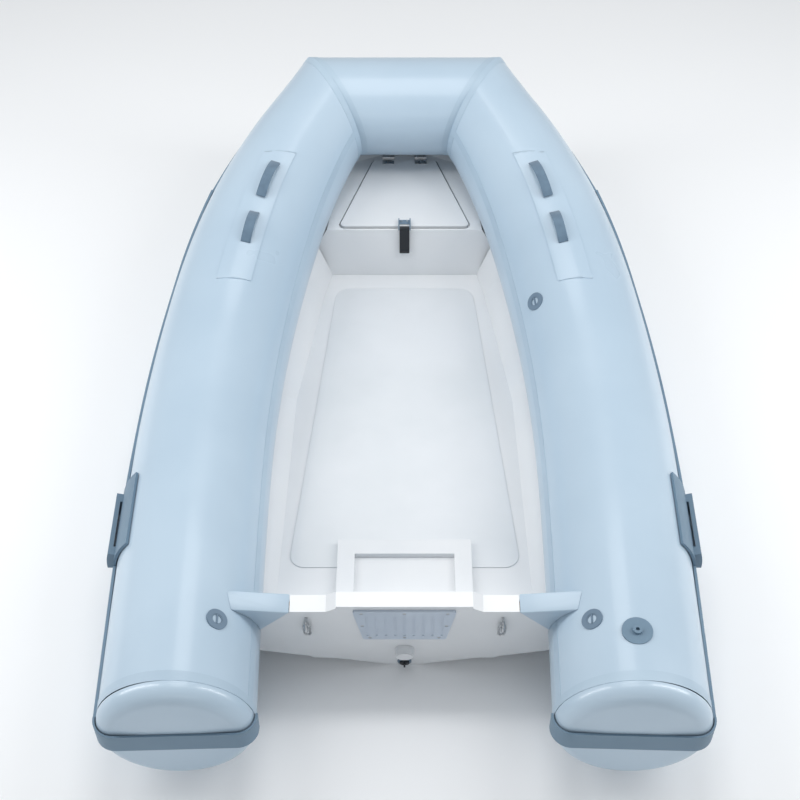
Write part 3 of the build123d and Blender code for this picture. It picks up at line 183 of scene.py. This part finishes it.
def thin_layer(layer: bpy.types.Object, drop: Callable[[Vector, Vector], bool],
               lift: float) -> None:
    """Turn a copy of a skin into a thin glued layer.

    Args:
        layer: Copy of the skin that it lies on.
        drop: Tells from a face's centre and normal whether the face goes.
        lift: Thickness of the layer.
    """
    pick_faces(layer, drop)
    bpy.ops.mesh.delete(type="FACE")
    bpy.ops.object.mode_set(mode="OBJECT")
    applied(layer, "SOLIDIFY", thickness=lift, offset=1.0)
    smoothed(layer)


def strip(source: bpy.types.Object, name: str,
          keep: Callable[[Vector], bool], lift: float) -> bpy.types.Object:
    """Lift part of a chamber's skin off as a thin glued layer.

    Args:
        source: The chamber's skin.
        name: Name of the layer.
        keep: Tells from a face's centre whether the layer covers it.
        lift: Thickness of the layer.

    Returns:
        The layer's mesh.
    """
    layer = copied(source, name)
    thin_layer(layer, lambda centre, normal: not keep(centre) or abs(normal.y) > 0.95, lift)
    return layer


# ---- Finishes -----------------------------------------------------------------
def linear(hex_colour: str) -> tuple[float, float, float, float]:
    """Convert an sRGB hex colour to Blender's linear one.

    Args:
        hex_colour: Six digits, such as "C8D6E2".

    Returns:
        Red, green, blue and alpha.
    """
    channels = []
    for start in (0, 2, 4):
        value = int(hex_colour[start:start + 2], 16) / 255
        channels.append(value / 12.92 if value <= 0.04045 else ((value + 0.055) / 1.055) ** 2.4)
    return (*channels, 1.0)


def add_node(tree: bpy.types.NodeTree, kind: str, settings: dict[str, object] | None = None,
             values: dict[str, object] | None = None,
             links: dict[str, bpy.types.NodeSocket] | None = None) -> bpy.types.Node:
    """Add one shader node with its settings, values and links.

    Args:
        tree: Node tree of the material.
        kind: Node type.
        settings: Properties of the node.
        values: Input values by socket name.
        links: Output sockets to connect, by input socket name.

    Returns:
        The new node.
    """
    made = tree.nodes.new(kind)
    for key, value in (settings or {}).items():
        setattr(made, key, value)
    for key, value in (values or {}).items():
        made.inputs[key].default_value = value
    for key, socket in (links or {}).items():
        tree.links.new(socket, made.inputs[key])
    return made


PER_METRE = 1000              # millimetres
WAVE_TURN = 6.28              # one band of a wave, in its texture's own units
LEAST_ROUGHNESS = 0.02
COAT_ROUGHNESS = 0.08
SHADE_STOP, TONE_STOP = 0.35, 0.65
RELIEF_STRENGTH = 0.6


@dataclass(frozen=True)
class Finish:
    """A surface: two close tones, gloss, and a fine relief of known size."""

    name: str
    tone: str
    shade: str
    roughness: float
    ior: float = 1.5
    metallic: float = 0.0
    coat: float = 0.0
    sheen: float = 0.0
    tone_mm: float = 300.0      # size of the slow changes of tone
    grain_mm: float = 1.5       # size of the relief
    grain_depth_mm: float = 0.02
    rough_spread: float = 0.06

    def relief(self, tree: bpy.types.NodeTree, place: bpy.types.NodeSocket) -> bpy.types.NodeSocket:
        """Height of the grain; a fine even noise unless a finish has its own."""
        noise = add_node(tree, "ShaderNodeTexNoise",
                         values={"Scale": PER_METRE / self.grain_mm, "Detail": 3.0},
                         links={"Vector": place})
        return noise.outputs["Fac"]

    def material(self) -> bpy.types.Material:
        """Build the material once, and return it each time it is asked for."""
        made = bpy.data.materials.get(self.name)
        if made:
            return made
        made = bpy.data.materials.new(self.name)
        made.use_nodes = True
        tree = made.node_tree
        shader = tree.nodes["Principled BSDF"]
        shader.inputs["IOR"].default_value = self.ior
        shader.inputs["Metallic"].default_value = self.metallic
        shader.inputs["Coat Weight"].default_value = self.coat
        shader.inputs["Coat Roughness"].default_value = COAT_ROUGHNESS
        shader.inputs["Sheen Weight"].default_value = self.sheen
        place = add_node(tree, "ShaderNodeTexCoord").outputs["Object"]
        slow = add_node(tree, "ShaderNodeTexNoise",
                        values={"Scale": PER_METRE / self.tone_mm, "Detail": 4.0},
                        links={"Vector": place}).outputs["Fac"]
        tones = add_node(tree, "ShaderNodeValToRGB", links={"Fac": slow})
        tones.color_ramp.elements[0].position = SHADE_STOP
        tones.color_ramp.elements[0].color = linear(self.shade)
        tones.color_ramp.elements[1].position = TONE_STOP
        tones.color_ramp.elements[1].color = linear(self.tone)
        gloss = add_node(tree, "ShaderNodeMapRange", values={
            "To Min": max(LEAST_ROUGHNESS, self.roughness - self.rough_spread),
            "To Max": self.roughness + self.rough_spread}, links={"Value": slow})
        bump = add_node(tree, "ShaderNodeBump", values={
            "Strength": RELIEF_STRENGTH, "Distance": self.grain_depth_mm / PER_METRE},
            links={"Height": self.relief(tree, place)})
        tree.links.new(tones.outputs["Color"], shader.inputs["Base Color"])
        tree.links.new(gloss.outputs["Result"], shader.inputs["Roughness"])
        tree.links.new(bump.outputs["Normal"], shader.inputs["Normal"])
        return made


@dataclass(frozen=True)
class Woven(Finish):
    """A finish whose relief is two crossing sets of threads."""

    def relief(self, tree: bpy.types.NodeTree, place: bpy.types.NodeSocket) -> bpy.types.NodeSocket:
        """Height of the weave: warp and weft waves multiplied."""
        bands = []
        for direction in ("DIAGONAL", "Y"):
            wave = add_node(tree, "ShaderNodeTexWave", settings={"bands_direction": direction},
                            values={"Scale": PER_METRE / self.grain_mm / WAVE_TURN, "Distortion": 0.3},
                            links={"Vector": place})
            bands.append(wave.outputs["Fac"])
        crossed = add_node(tree, "ShaderNodeMath", settings={"operation": "MULTIPLY"})
        tree.links.new(bands[0], crossed.inputs[0])
        tree.links.new(bands[1], crossed.inputs[1])
        return crossed.outputs["Value"]


@dataclass(frozen=True)
class Pebbled(Finish):
    """A finish with a moulded anti-slip pattern of small round cells."""

    def relief(self, tree: bpy.types.NodeTree, place: bpy.types.NodeSocket) -> bpy.types.NodeSocket:
        """Height of the cells."""
        cells = add_node(tree, "ShaderNodeTexVoronoi", values={"Scale": PER_METRE / self.grain_mm},
                         links={"Vector": place})
        return cells.outputs["Distance"]


@dataclass(frozen=True)
class Brushed(Finish):
    """A finish with fine lines all one way, as left by a brushing belt."""

    def relief(self, tree: bpy.types.NodeTree, place: bpy.types.NodeSocket) -> bpy.types.NodeSocket:
        """Height of the brush lines: noise stretched along Z."""
        drawn = add_node(tree, "ShaderNodeMapping", values={"Scale": (1.0, 1.0, 0.05)},
                         links={"Vector": place})
        lines = add_node(tree, "ShaderNodeTexNoise",
                         values={"Scale": PER_METRE / self.grain_mm, "Detail": 2.0},
                         links={"Vector": drawn.outputs["Vector"]})
        return lines.outputs["Fac"]


# Coated polyester tube fabric: satin, with the base weave just telegraphing through.
TUBE_FABRIC = Woven("coated_tube_fabric", "B6C9D8", "AEC2D2", 0.30, coat=0.25, grain_mm=1.2,
                    grain_depth_mm=0.015, tone_mm=500.0)
# The same fabric as tape, glued over a seam: a little flatter and duller, and with tones darker than
# the tube's. The darker tones are painted shade standing in for the shadow along the tape edges, so
# that seams read.
SEAM_TAPE_PAINTED_SHADE = Woven("seam_tape_painted_shade", "B0C4D3", "A8BCCC", 0.38, grain_mm=1.2, grain_depth_mm=0.02)
# Extruded strake and moulded grips: matt grey-blue rubber with a faint skin.
STRAKE_RUBBER = Finish("moulded_grey_rubber", "6F889B", "678094", 0.52, grain_mm=0.9,
                       grain_depth_mm=0.03)
# Nylon webbing: visible coarse threads and a soft edge sheen.
WEBBING = Woven("woven_nylon_webbing", "647C90", "586F83", 0.75, sheen=0.3, grain_mm=2.2,
                grain_depth_mm=0.25, tone_mm=30.0)
# Gelcoat from a polished mould: high gloss over a slight orange peel.
GELCOAT = Finish("moulded_white_gelcoat", "E6E8EA", "E0E3E6", 0.20, coat=0.6, grain_mm=9.0,
                 grain_depth_mm=0.03, tone_mm=400.0)
# Gelcoat with the mould's fine anti-slip texture, which spreads the highlights.
NON_SKID = Pebbled("non_skid_gelcoat", "E4E7EA", "DDE1E4", 0.45, grain_mm=2.4, grain_depth_mm=0.18)
# Marine plywood edge and stringers: warm, with drawn-out grain.
PLYWOOD = Brushed("sealed_plywood", "B48A5C", "97703F", 0.6, grain_mm=2.0, grain_depth_mm=0.1,
                  tone_mm=8.0)
# Moulded black rubber of seals, plug and strap.
BLACK_RUBBER = Finish("moulded_black_rubber", "24282E", "1B1E23", 0.55, grain_mm=0.7,
                      grain_depth_mm=0.03)
# Ribbed pad of filled plastic.
PAD_PLASTIC = Pebbled("ribbed_pad_plastic", "C3CEDB", "B8C4D2", 0.42, grain_mm=3.0,
                      grain_depth_mm=0.2)
# White and grey injection-moulded fittings with a spark-eroded surface.
WHITE_PLASTIC = Finish("moulded_white_plastic", "E2E4E6", "DADDE0", 0.35, grain_mm=0.5)
GREY_PLASTIC = Finish("moulded_grey_plastic", "72879A", "697E91", 0.42, grain_mm=0.5,
                      grain_depth_mm=0.03)
# Brushed stainless fittings.
STAINLESS = Brushed("brushed_stainless", "C6C8CA", "B9BCBF", 0.28, ior=2.5, metallic=1.0,
                    grain_mm=0.3, grain_depth_mm=0.01, tone_mm=15.0)

FINISH_BY_SLOT: dict[str, Finish] = {
    "tube_fabric": TUBE_FABRIC, "strake_rubber": STRAKE_RUBBER, "webbing": WEBBING,
    "gelcoat": GELCOAT, "plywood": PLYWOOD, "black_rubber": BLACK_RUBBER,
    "pad_plastic": PAD_PLASTIC, "white_plastic": WHITE_PLASTIC, "grey_plastic": GREY_PLASTIC,
    "stainless": STAINLESS,
}


def dressed(piece: bpy.types.Object, finish: Finish) -> None:
    """Give a new piece its material and let it ride with the hull.

    Args:
        piece: Finished mesh object.
        finish: Its surface.
    """
    piece.data.materials.clear()
    piece.data.materials.append(finish.material())
    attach(piece, HULL)
    LOG.info("%s: %d faces, %s", piece.name, len(piece.data.polygons), finish.name)


# ---- Chambers -----------------------------------------------------------------
@dataclass
class Chambers:
    """The inflated tube: two side chambers, the bow chamber, caps and seam tapes.

    The route repeats the runs of the tube's axis: forward, inboard, rise, in metres.
    """

    radius: float = 0.195
    bow_radius: float = 0.160
    axis_height: float = 0.240
    stern_half_beam: float = 0.560
    cap_depth: float = 0.052
    cap_round: float = 0.047
    strake_thick: float = 0.006
    runs: tuple[tuple[float, float, float], ...] = (
        (0.650, -0.019, 0.0), (0.510, 0.018, 0.015), (0.460, 0.077, 0.085),
        (0.310, 0.112, 0.085), (0.228, 0.132, 0.072))
    tape_lift: float = 0.0009
    tape_width: float = 0.020
    stern_tape_share: float = 1.4       # width of the stern tape to the mitre tapes'
    tape_lean: tuple[float, float] = (158.0, 166.0)
    cap_crown: float = 0.004            # part of the cap's depth left for its crown
    crown_step: float = 0.0018
    crown_reach: float = 0.02
    round_faces: int = 92
    section_steps: int = 22
    length_steps: int = 40
    overrun: float = 1.2                # past the mitre, to the bow chamber's radius
    route: list[Vector] = field(default_factory=list)
    centreline: list[Vector] = field(default_factory=list)
    skins: dict[Side, bpy.types.Object] = field(default_factory=dict)

    def __post_init__(self) -> None:
        """Work out the corner points of the axis, from the stern to the mitre."""
        ends = self.cap_depth + self.bow_radius + 2 * self.strake_thick
        length = ends + sum(forward for forward, _, _ in self.runs)
        stern = self.cap_depth + self.strake_thick - length / 2
        self.route = [Vector((self.stern_half_beam, stern, self.axis_height))]
        for forward, inboard, rise in self.runs:
            self.route.append(self.route[-1] + Vector((-inboard, forward, rise)))

    @property
    def fore_direction(self) -> Vector:
        """Direction of the side chamber where it meets the bow chamber."""
        return (self.route[-1] - self.route[-2]).normalized()

    def mitre(self, side: Side) -> Vector:
        """Normal of the mitre plane, pointing forward and inboard."""
        normal = (self.fore_direction + Vector((-1, 0, 0))).normalized()
        return Vector((normal.x * side.value, normal.y, normal.z))

    def corner(self, side: Side) -> Vector:
        """Point where the side chamber's axis meets the bow chamber's."""
        end = self.route[-1]
        return Vector((end.x * side.value, end.y, end.z))

    def axis_curve(self, side: Side, bevel: float) -> bpy.types.Object:
        """Add the axis as a smooth curve, with a round section if bevel is given.

        Args:
            side: Side of the boat.
            bevel: Radius of the section, or 0 for the bare line.

        Returns:
            The curve's mesh.
        """
        bpy.ops.object.select_all(action="DESELECT")
        bpy.ops.curve.primitive_nurbs_path_add()
        made = bpy.context.object
        spline = made.data.splines[0]
        beyond = self.route[-1] + self.fore_direction * self.bow_radius * self.overrun
        points = self.route + [beyond]
        spline.points.add(len(points) - len(spline.points))
        end_scale = self.bow_radius / self.radius
        scales = [1.0, 1.0, 1.0, 1.0, (1.0 + end_scale) / 2, end_scale, end_scale]
        for slot, point, scale in zip(spline.points, points, scales):
            slot.co = (point.x * side.value, point.y, point.z, 1.0)
            slot.radius = scale
        spline.order_u = 3
        spline.use_endpoint_u = True
        spline.resolution_u = self.length_steps
        made.data.twist_mode = "Z_UP"
        made.data.bevel_depth = bevel
        made.data.bevel_resolution = self.section_steps
        made.data.use_path = False
        bpy.ops.object.convert(target="MESH")
        return bpy.context.object

    def read_centreline(self) -> None:
        """Read the points of the starboard axis back from its curve."""
        line = self.axis_curve(Side.STARBOARD, 0.0)
        self.centreline = [vertex.co.copy() for vertex in line.data.vertices]
        bpy.data.objects.remove(line)

    def lean_of(self, point: Vector) -> float:
        """Degrees round a side chamber's section: 0 outboard, 90 on top, 180 inboard."""
        here = Vector((abs(point.x), point.y, point.z))
        index = min(range(1, len(self.centreline) - 1),
                    key=lambda place: (self.centreline[place] - here).length)
        along = (self.centreline[index + 1] - self.centreline[index - 1]).normalized()
        side = along.cross(Vector((0, 0, 1))).normalized()
        away = here - self.centreline[index]
        return math.degrees(math.atan2(away.dot(side.cross(along)), away.dot(side)))

    def side_skin(self, side: Side) -> bpy.types.Object:
        """Side chamber, cut on the mitre.

        Args:
            side: Side of the boat.

        Returns:
            The chamber's closed mesh.
        """
        skin = self.axis_curve(side, self.radius)
        skin.name = f"chamber_{side.name.lower()}"
        bisected(skin, self.corner(side), self.mitre(side), fill=True)
        stern = Vector((0, self.route[0].y, 0))
        bisected(skin, stern, Vector((0, -1, 0)), fill=True)
        outward(skin)
        smoothed(skin)
        return skin

    def bow_skin(self) -> bpy.types.Object:
        """Bow chamber between the two mitres."""
        end = self.route[-1]
        bpy.ops.object.select_all(action="DESELECT")
        bpy.ops.mesh.primitive_cylinder_add(
            vertices=self.round_faces, radius=self.bow_radius, depth=4 * end.x + 4 * self.bow_radius,
            location=(0, end.y, end.z), rotation=(0, math.pi / 2, 0))
        skin = started("chamber_bow")
        for side in Side:
            bisected(skin, self.corner(side), self.mitre(side) * -1, fill=True)
        outward(skin)
        smoothed(skin)
        return skin

    def cap(self, side: Side) -> bpy.types.Object:
        """Rounded stern end of a side chamber, slightly crowned by the pressure.

        Args:
            side: Side of the boat.

        Returns:
            The cap's closed mesh.
        """
        start = self.route[0]
        depth = self.cap_depth - self.cap_crown
        heading = math.atan2(self.route[1].x - start.x, self.route[1].y - start.y)
        bpy.ops.object.select_all(action="DESELECT")
        bpy.ops.mesh.primitive_cylinder_add(
            vertices=self.round_faces, radius=self.radius, depth=depth,
            location=(start.x * side.value, start.y - depth / 2, start.z),
            rotation=(math.pi / 2, 0, -heading * side.value))
        cap = started(f"cap_{side.name.lower()}")
        pick_faces(cap, lambda centre, normal: normal.y < -0.9)
        bpy.ops.mesh.bevel(offset=self.cap_round - self.cap_crown, segments=9, affect="EDGES")
        bpy.ops.object.mode_set(mode="OBJECT")
        for share in (0.035, 0.04):
            pick_faces(cap, lambda centre, normal: normal.y < -0.97 and Vector(
                (centre.x - start.x * side.value, centre.z - start.z)).length < self.crown_reach)
            bpy.ops.mesh.inset(thickness=share)
            bpy.ops.transform.translate(value=(0, -self.crown_step, 0))
            bpy.ops.object.mode_set(mode="OBJECT")
        outward(cap)
        smoothed(cap, 40.0)
        return cap

    def mitre_tape(self, source: bpy.types.Object, side: Side, forward: bool) -> bpy.types.Object:
        """Tape along a mitre seam, on one of the two chambers that meet there.

        Args:
            source: Skin that carries the tape.
            side: Side of the boat.
            forward: True on the bow chamber.

        Returns:
            The tape's mesh.
        """
        away = self.mitre(side) * (1 if forward else -1)
        tape = copied(source, f"mitre_tape_{side.name.lower()}_{'bow' if forward else 'side'}")
        edge = self.corner(side) + away * self.tape_width
        bisected(tape, edge, away, fill=False)
        thin_layer(tape, lambda centre, normal: abs(normal.dot(away)) > 0.985, self.tape_lift)
        return tape

    def stern_tape(self, side: Side) -> bpy.types.Object:
        """Tape round the seam between a side chamber and its cap.

        Args:
            side: Side of the boat.

        Returns:
            The tape's mesh.
        """
        tape = copied(self.skins[side], f"stern_tape_{side.name.lower()}")
        edge = self.route[0].y + self.tape_width * self.stern_tape_share
        bisected(tape, Vector((0, edge, 0)), Vector((0, 1, 0)), fill=False)
        thin_layer(tape, lambda centre, normal: abs(normal.y) > 0.9, self.tape_lift)
        return tape

    def build(self) -> None:
        """Build the chambers and their tapes, and replace the plain solids."""
        self.read_centreline()
        bow = self.bow_skin()
        dressed(bow, TUBE_FABRIC)
        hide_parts("tube_bow")
        for side in Side:
            word = side.name.lower()
            skin = self.side_skin(side)
            self.skins[side] = skin
            dressed(skin, TUBE_FABRIC)
            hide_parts(f"tube_{word}")
            cap = self.cap(side)
            dressed(cap, TUBE_FABRIC)
            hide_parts(f"stern_cap_{word}")
            inner = strip(skin, f"inner_tape_{word}",
                          lambda centre: self.tape_lean[0] < self.lean_of(centre)
                          < self.tape_lean[1], self.tape_lift)
            for tape in (inner, self.mitre_tape(skin, side, False),
                         self.mitre_tape(bow, side, True), self.stern_tape(side)):
                # The tapes get the darker tape finish, whose colour is painted shade for the shadow
                # along their edges.
                dressed(tape, SEAM_TAPE_PAINTED_SHADE)


# ---- Straps and fairings ------------------------------------------------------
@dataclass
class Soft:
    """Glued patches, webbing loops and the fabric fairings beside the transom."""

    chambers: Chambers
    patch_lean: tuple[float, float] = (86.0, 112.0)
    patch_lift: float = 0.0024
    patch_spare: float = 0.06
    webbing_round: float = 0.0008
    fairing_round: float = 0.003
    merge_within: float = 0.00005
    flat_degrees: float = 1.0
    edge_degrees: float = 40.0

    def softened(self, node: str, name: str, rounding: float) -> bpy.types.Object:
        """Model a soft piece from the outline of its plain solid, with worked edges.

        Args:
            node: Node whose outline is followed.
            name: Name of the piece.
            rounding: Radius of its edges.

        Returns:
            The piece's mesh.
        """
        piece = copied(frame["nodes"][node], name)
        activate(piece)
        bpy.ops.object.mode_set(mode="EDIT")
        bpy.ops.mesh.select_all(action="SELECT")
        bpy.ops.mesh.remove_doubles(threshold=self.merge_within)
        bpy.ops.mesh.dissolve_limited(angle_limit=math.radians(self.flat_degrees))
        bpy.ops.object.mode_set(mode="OBJECT")
        applied(piece, "BEVEL", width=rounding, segments=3, limit_method="ANGLE",
                angle_limit=math.radians(self.edge_degrees))
        smoothed(piece)
        return piece

    def build(self) -> None:
        """Build every soft piece and replace its plain solid."""
        low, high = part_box("grab_patches")
        patches = []
        for side in Side:
            patch = strip(
                self.chambers.skins[side], f"strap_patch_{side.name.lower()}",
                lambda centre: low[1] - self.patch_spare < centre.y < high[1] + self.patch_spare
                and self.patch_lean[0] < self.chambers.lean_of(centre) < self.patch_lean[1],
                self.patch_lift)
            bisected(patch, low, Vector((0, -1, 0)), fill=True)
            bisected(patch, high, Vector((0, 1, 0)), fill=True)
            dressed(patch, TUBE_FABRIC)
            patches.append(patch)
            loops = self.softened(f"grab_loops_{side.name.lower()}",
                                  f"webbing_loops_{side.name.lower()}", self.webbing_round)
            dressed(loops, WEBBING)
            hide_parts(f"grab_loops_{side.name.lower()}")
        for patch in patches:
            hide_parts("grab_patches")
        fairings = self.softened("transom_gussets", "transom_fairings", self.fairing_round)
        dressed(fairings, TUBE_FABRIC)
        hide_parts("transom_gussets")


# ---- Cockpit ------------------------------------------------------------------
@dataclass
class Cockpit:
    """Raised anti-slip panel of the floor, narrowing towards the bow."""

    floor_height: float = 0.135
    rise: float = 0.003
    glue_line: float = 0.0003
    aft_half: float = 0.322
    fore_half: float = 0.222
    aft_y: float = -0.600
    fore_y: float = 0.520
    corner: float = 0.045
    edge_round: float = 0.0012

    def build(self) -> None:
        """Build the panel from a flat plate: taper, round, then raise it."""
        bpy.ops.object.select_all(action="DESELECT")
        bpy.ops.mesh.primitive_plane_add(size=1, location=(0, 0, 0))
        panel = started("floor_panel")
        for vertex in panel.data.vertices:
            fore = vertex.co.y > 0
            half = self.fore_half if fore else self.aft_half
            vertex.co = (math.copysign(half, vertex.co.x), self.fore_y if fore else self.aft_y,
                         self.floor_height + self.glue_line)
        activate(panel)
        bpy.ops.object.mode_set(mode="EDIT")
        bpy.ops.mesh.select_all(action="SELECT")
        bpy.ops.mesh.bevel(offset=self.corner, segments=8, affect="VERTICES")
        bpy.ops.mesh.select_all(action="SELECT")
        bpy.ops.mesh.extrude_region_move(TRANSFORM_OT_translate={"value": (0, 0, self.rise)})
        bpy.ops.object.mode_set(mode="OBJECT")
        outward(panel)
        applied(panel, "BEVEL", width=self.edge_round, segments=2, limit_method="ANGLE")
        smoothed(panel)
        dressed(panel, NON_SKID)


@dataclass
class Fittings:
    """The hard parts, which keep their own shape and get a worked surface."""

    def build(self) -> None:
        """Give each carried-over node the finish of its material slot."""
        slots = {part["node"]: part["material_slot"] for part in frame["record"]["subparts"]}
        for node, item in frame["nodes"].items():
            finish = FINISH_BY_SLOT[slots[node]]
            for place in item.material_slots:
                place.material = finish.material()
            LOG.info("%s: %s", node, finish.name)


# ---- Studio -------------------------------------------------------------------
@dataclass
class Studio:
    """Pale floor, soft lights and the camera above and behind the stern."""

    camera_place: tuple[float, float, float] = (0.0, -2.849, 3.328)
    camera_tilt: float = 42.0
    lens: float = 63.0
    sensor: float = 36.0
    shift_x: float = -0.0056
    aim: tuple[float, float, float] = (0.0, 0.0, 0.25)
    top_power: float = 40.0
    side_power: float = 62.0
    stern_power: float = 7.0
    surround: float = 0.56

    def camera(self) -> None:
        """Add the camera and make it the scene's own."""
        bpy.ops.object.camera_add(location=self.camera_place,
                                  rotation=(math.radians(self.camera_tilt), 0, 0))
        made = bpy.context.object
        made.data.lens = self.lens
        made.data.sensor_width = self.sensor
        made.data.shift_x = self.shift_x
        bpy.context.scene.camera = made

    def floor(self) -> None:
        """Add a plain pale floor."""
        bpy.ops.mesh.primitive_plane_add(size=30.0, location=(0, 0, -0.0005))
        made = bpy.context.object
        made.name = "studio_floor"
        surface = bpy.data.materials.new("pale_floor")
        surface.use_nodes = True
        shader = surface.node_tree.nodes["Principled BSDF"]
        shader.inputs["Base Color"].default_value = linear("F4F5F6")
        shader.inputs["Roughness"].default_value = 0.9
        made.data.materials.append(surface)

    def light(self, place: Vector, aim: Vector, size: tuple[float, float], power: float) -> None:
        """Add one rectangular soft light.

        Args:
            place: Where it stands.
            aim: Point that it faces.
            size: Width and height.
            power: Watts.
        """
        bpy.ops.object.light_add(type="AREA", location=place)
        made = bpy.context.object
        made.data.shape = "RECTANGLE"
        made.data.size, made.data.size_y = size
        made.data.energy = power
        made.rotation_euler = (aim - place).to_track_quat("-Z", "Y").to_euler()

    def build(self) -> None:
        """Set up the whole studio."""
        self.camera()
        self.floor()
        middle = Vector(self.aim)
        self.light(Vector((0, 0.5, 4.2)), middle, (1.6, 3.0), self.top_power)
        for side in Side:
            self.light(Vector((3.0 * side.value, -0.2, 2.6)), middle, (0.45, 3.6),
                       self.side_power)
        self.light(Vector((0, -4.5, 2.4)), middle, (3.0, 1.0), self.stern_power)
        world = bpy.data.worlds.new("soft_surround")
        world.use_nodes = True
        background = world.node_tree.nodes["Background"]
        background.inputs["Color"].default_value = linear("F2F5F8")
        background.inputs["Strength"].default_value = self.surround
        bpy.context.scene.world = world
        bpy.context.scene.view_settings.view_transform = "Standard"


def main() -> None:
    """Build the studio and every sub-assembly."""
    logging.basicConfig(level=logging.INFO, format="%(message)s")
    Studio().build()
    Fittings().build()
    chambers = Chambers()
    chambers.build()
    Soft(chambers).build()
    Cockpit().build()


if __name__ == "__main__":
    main()
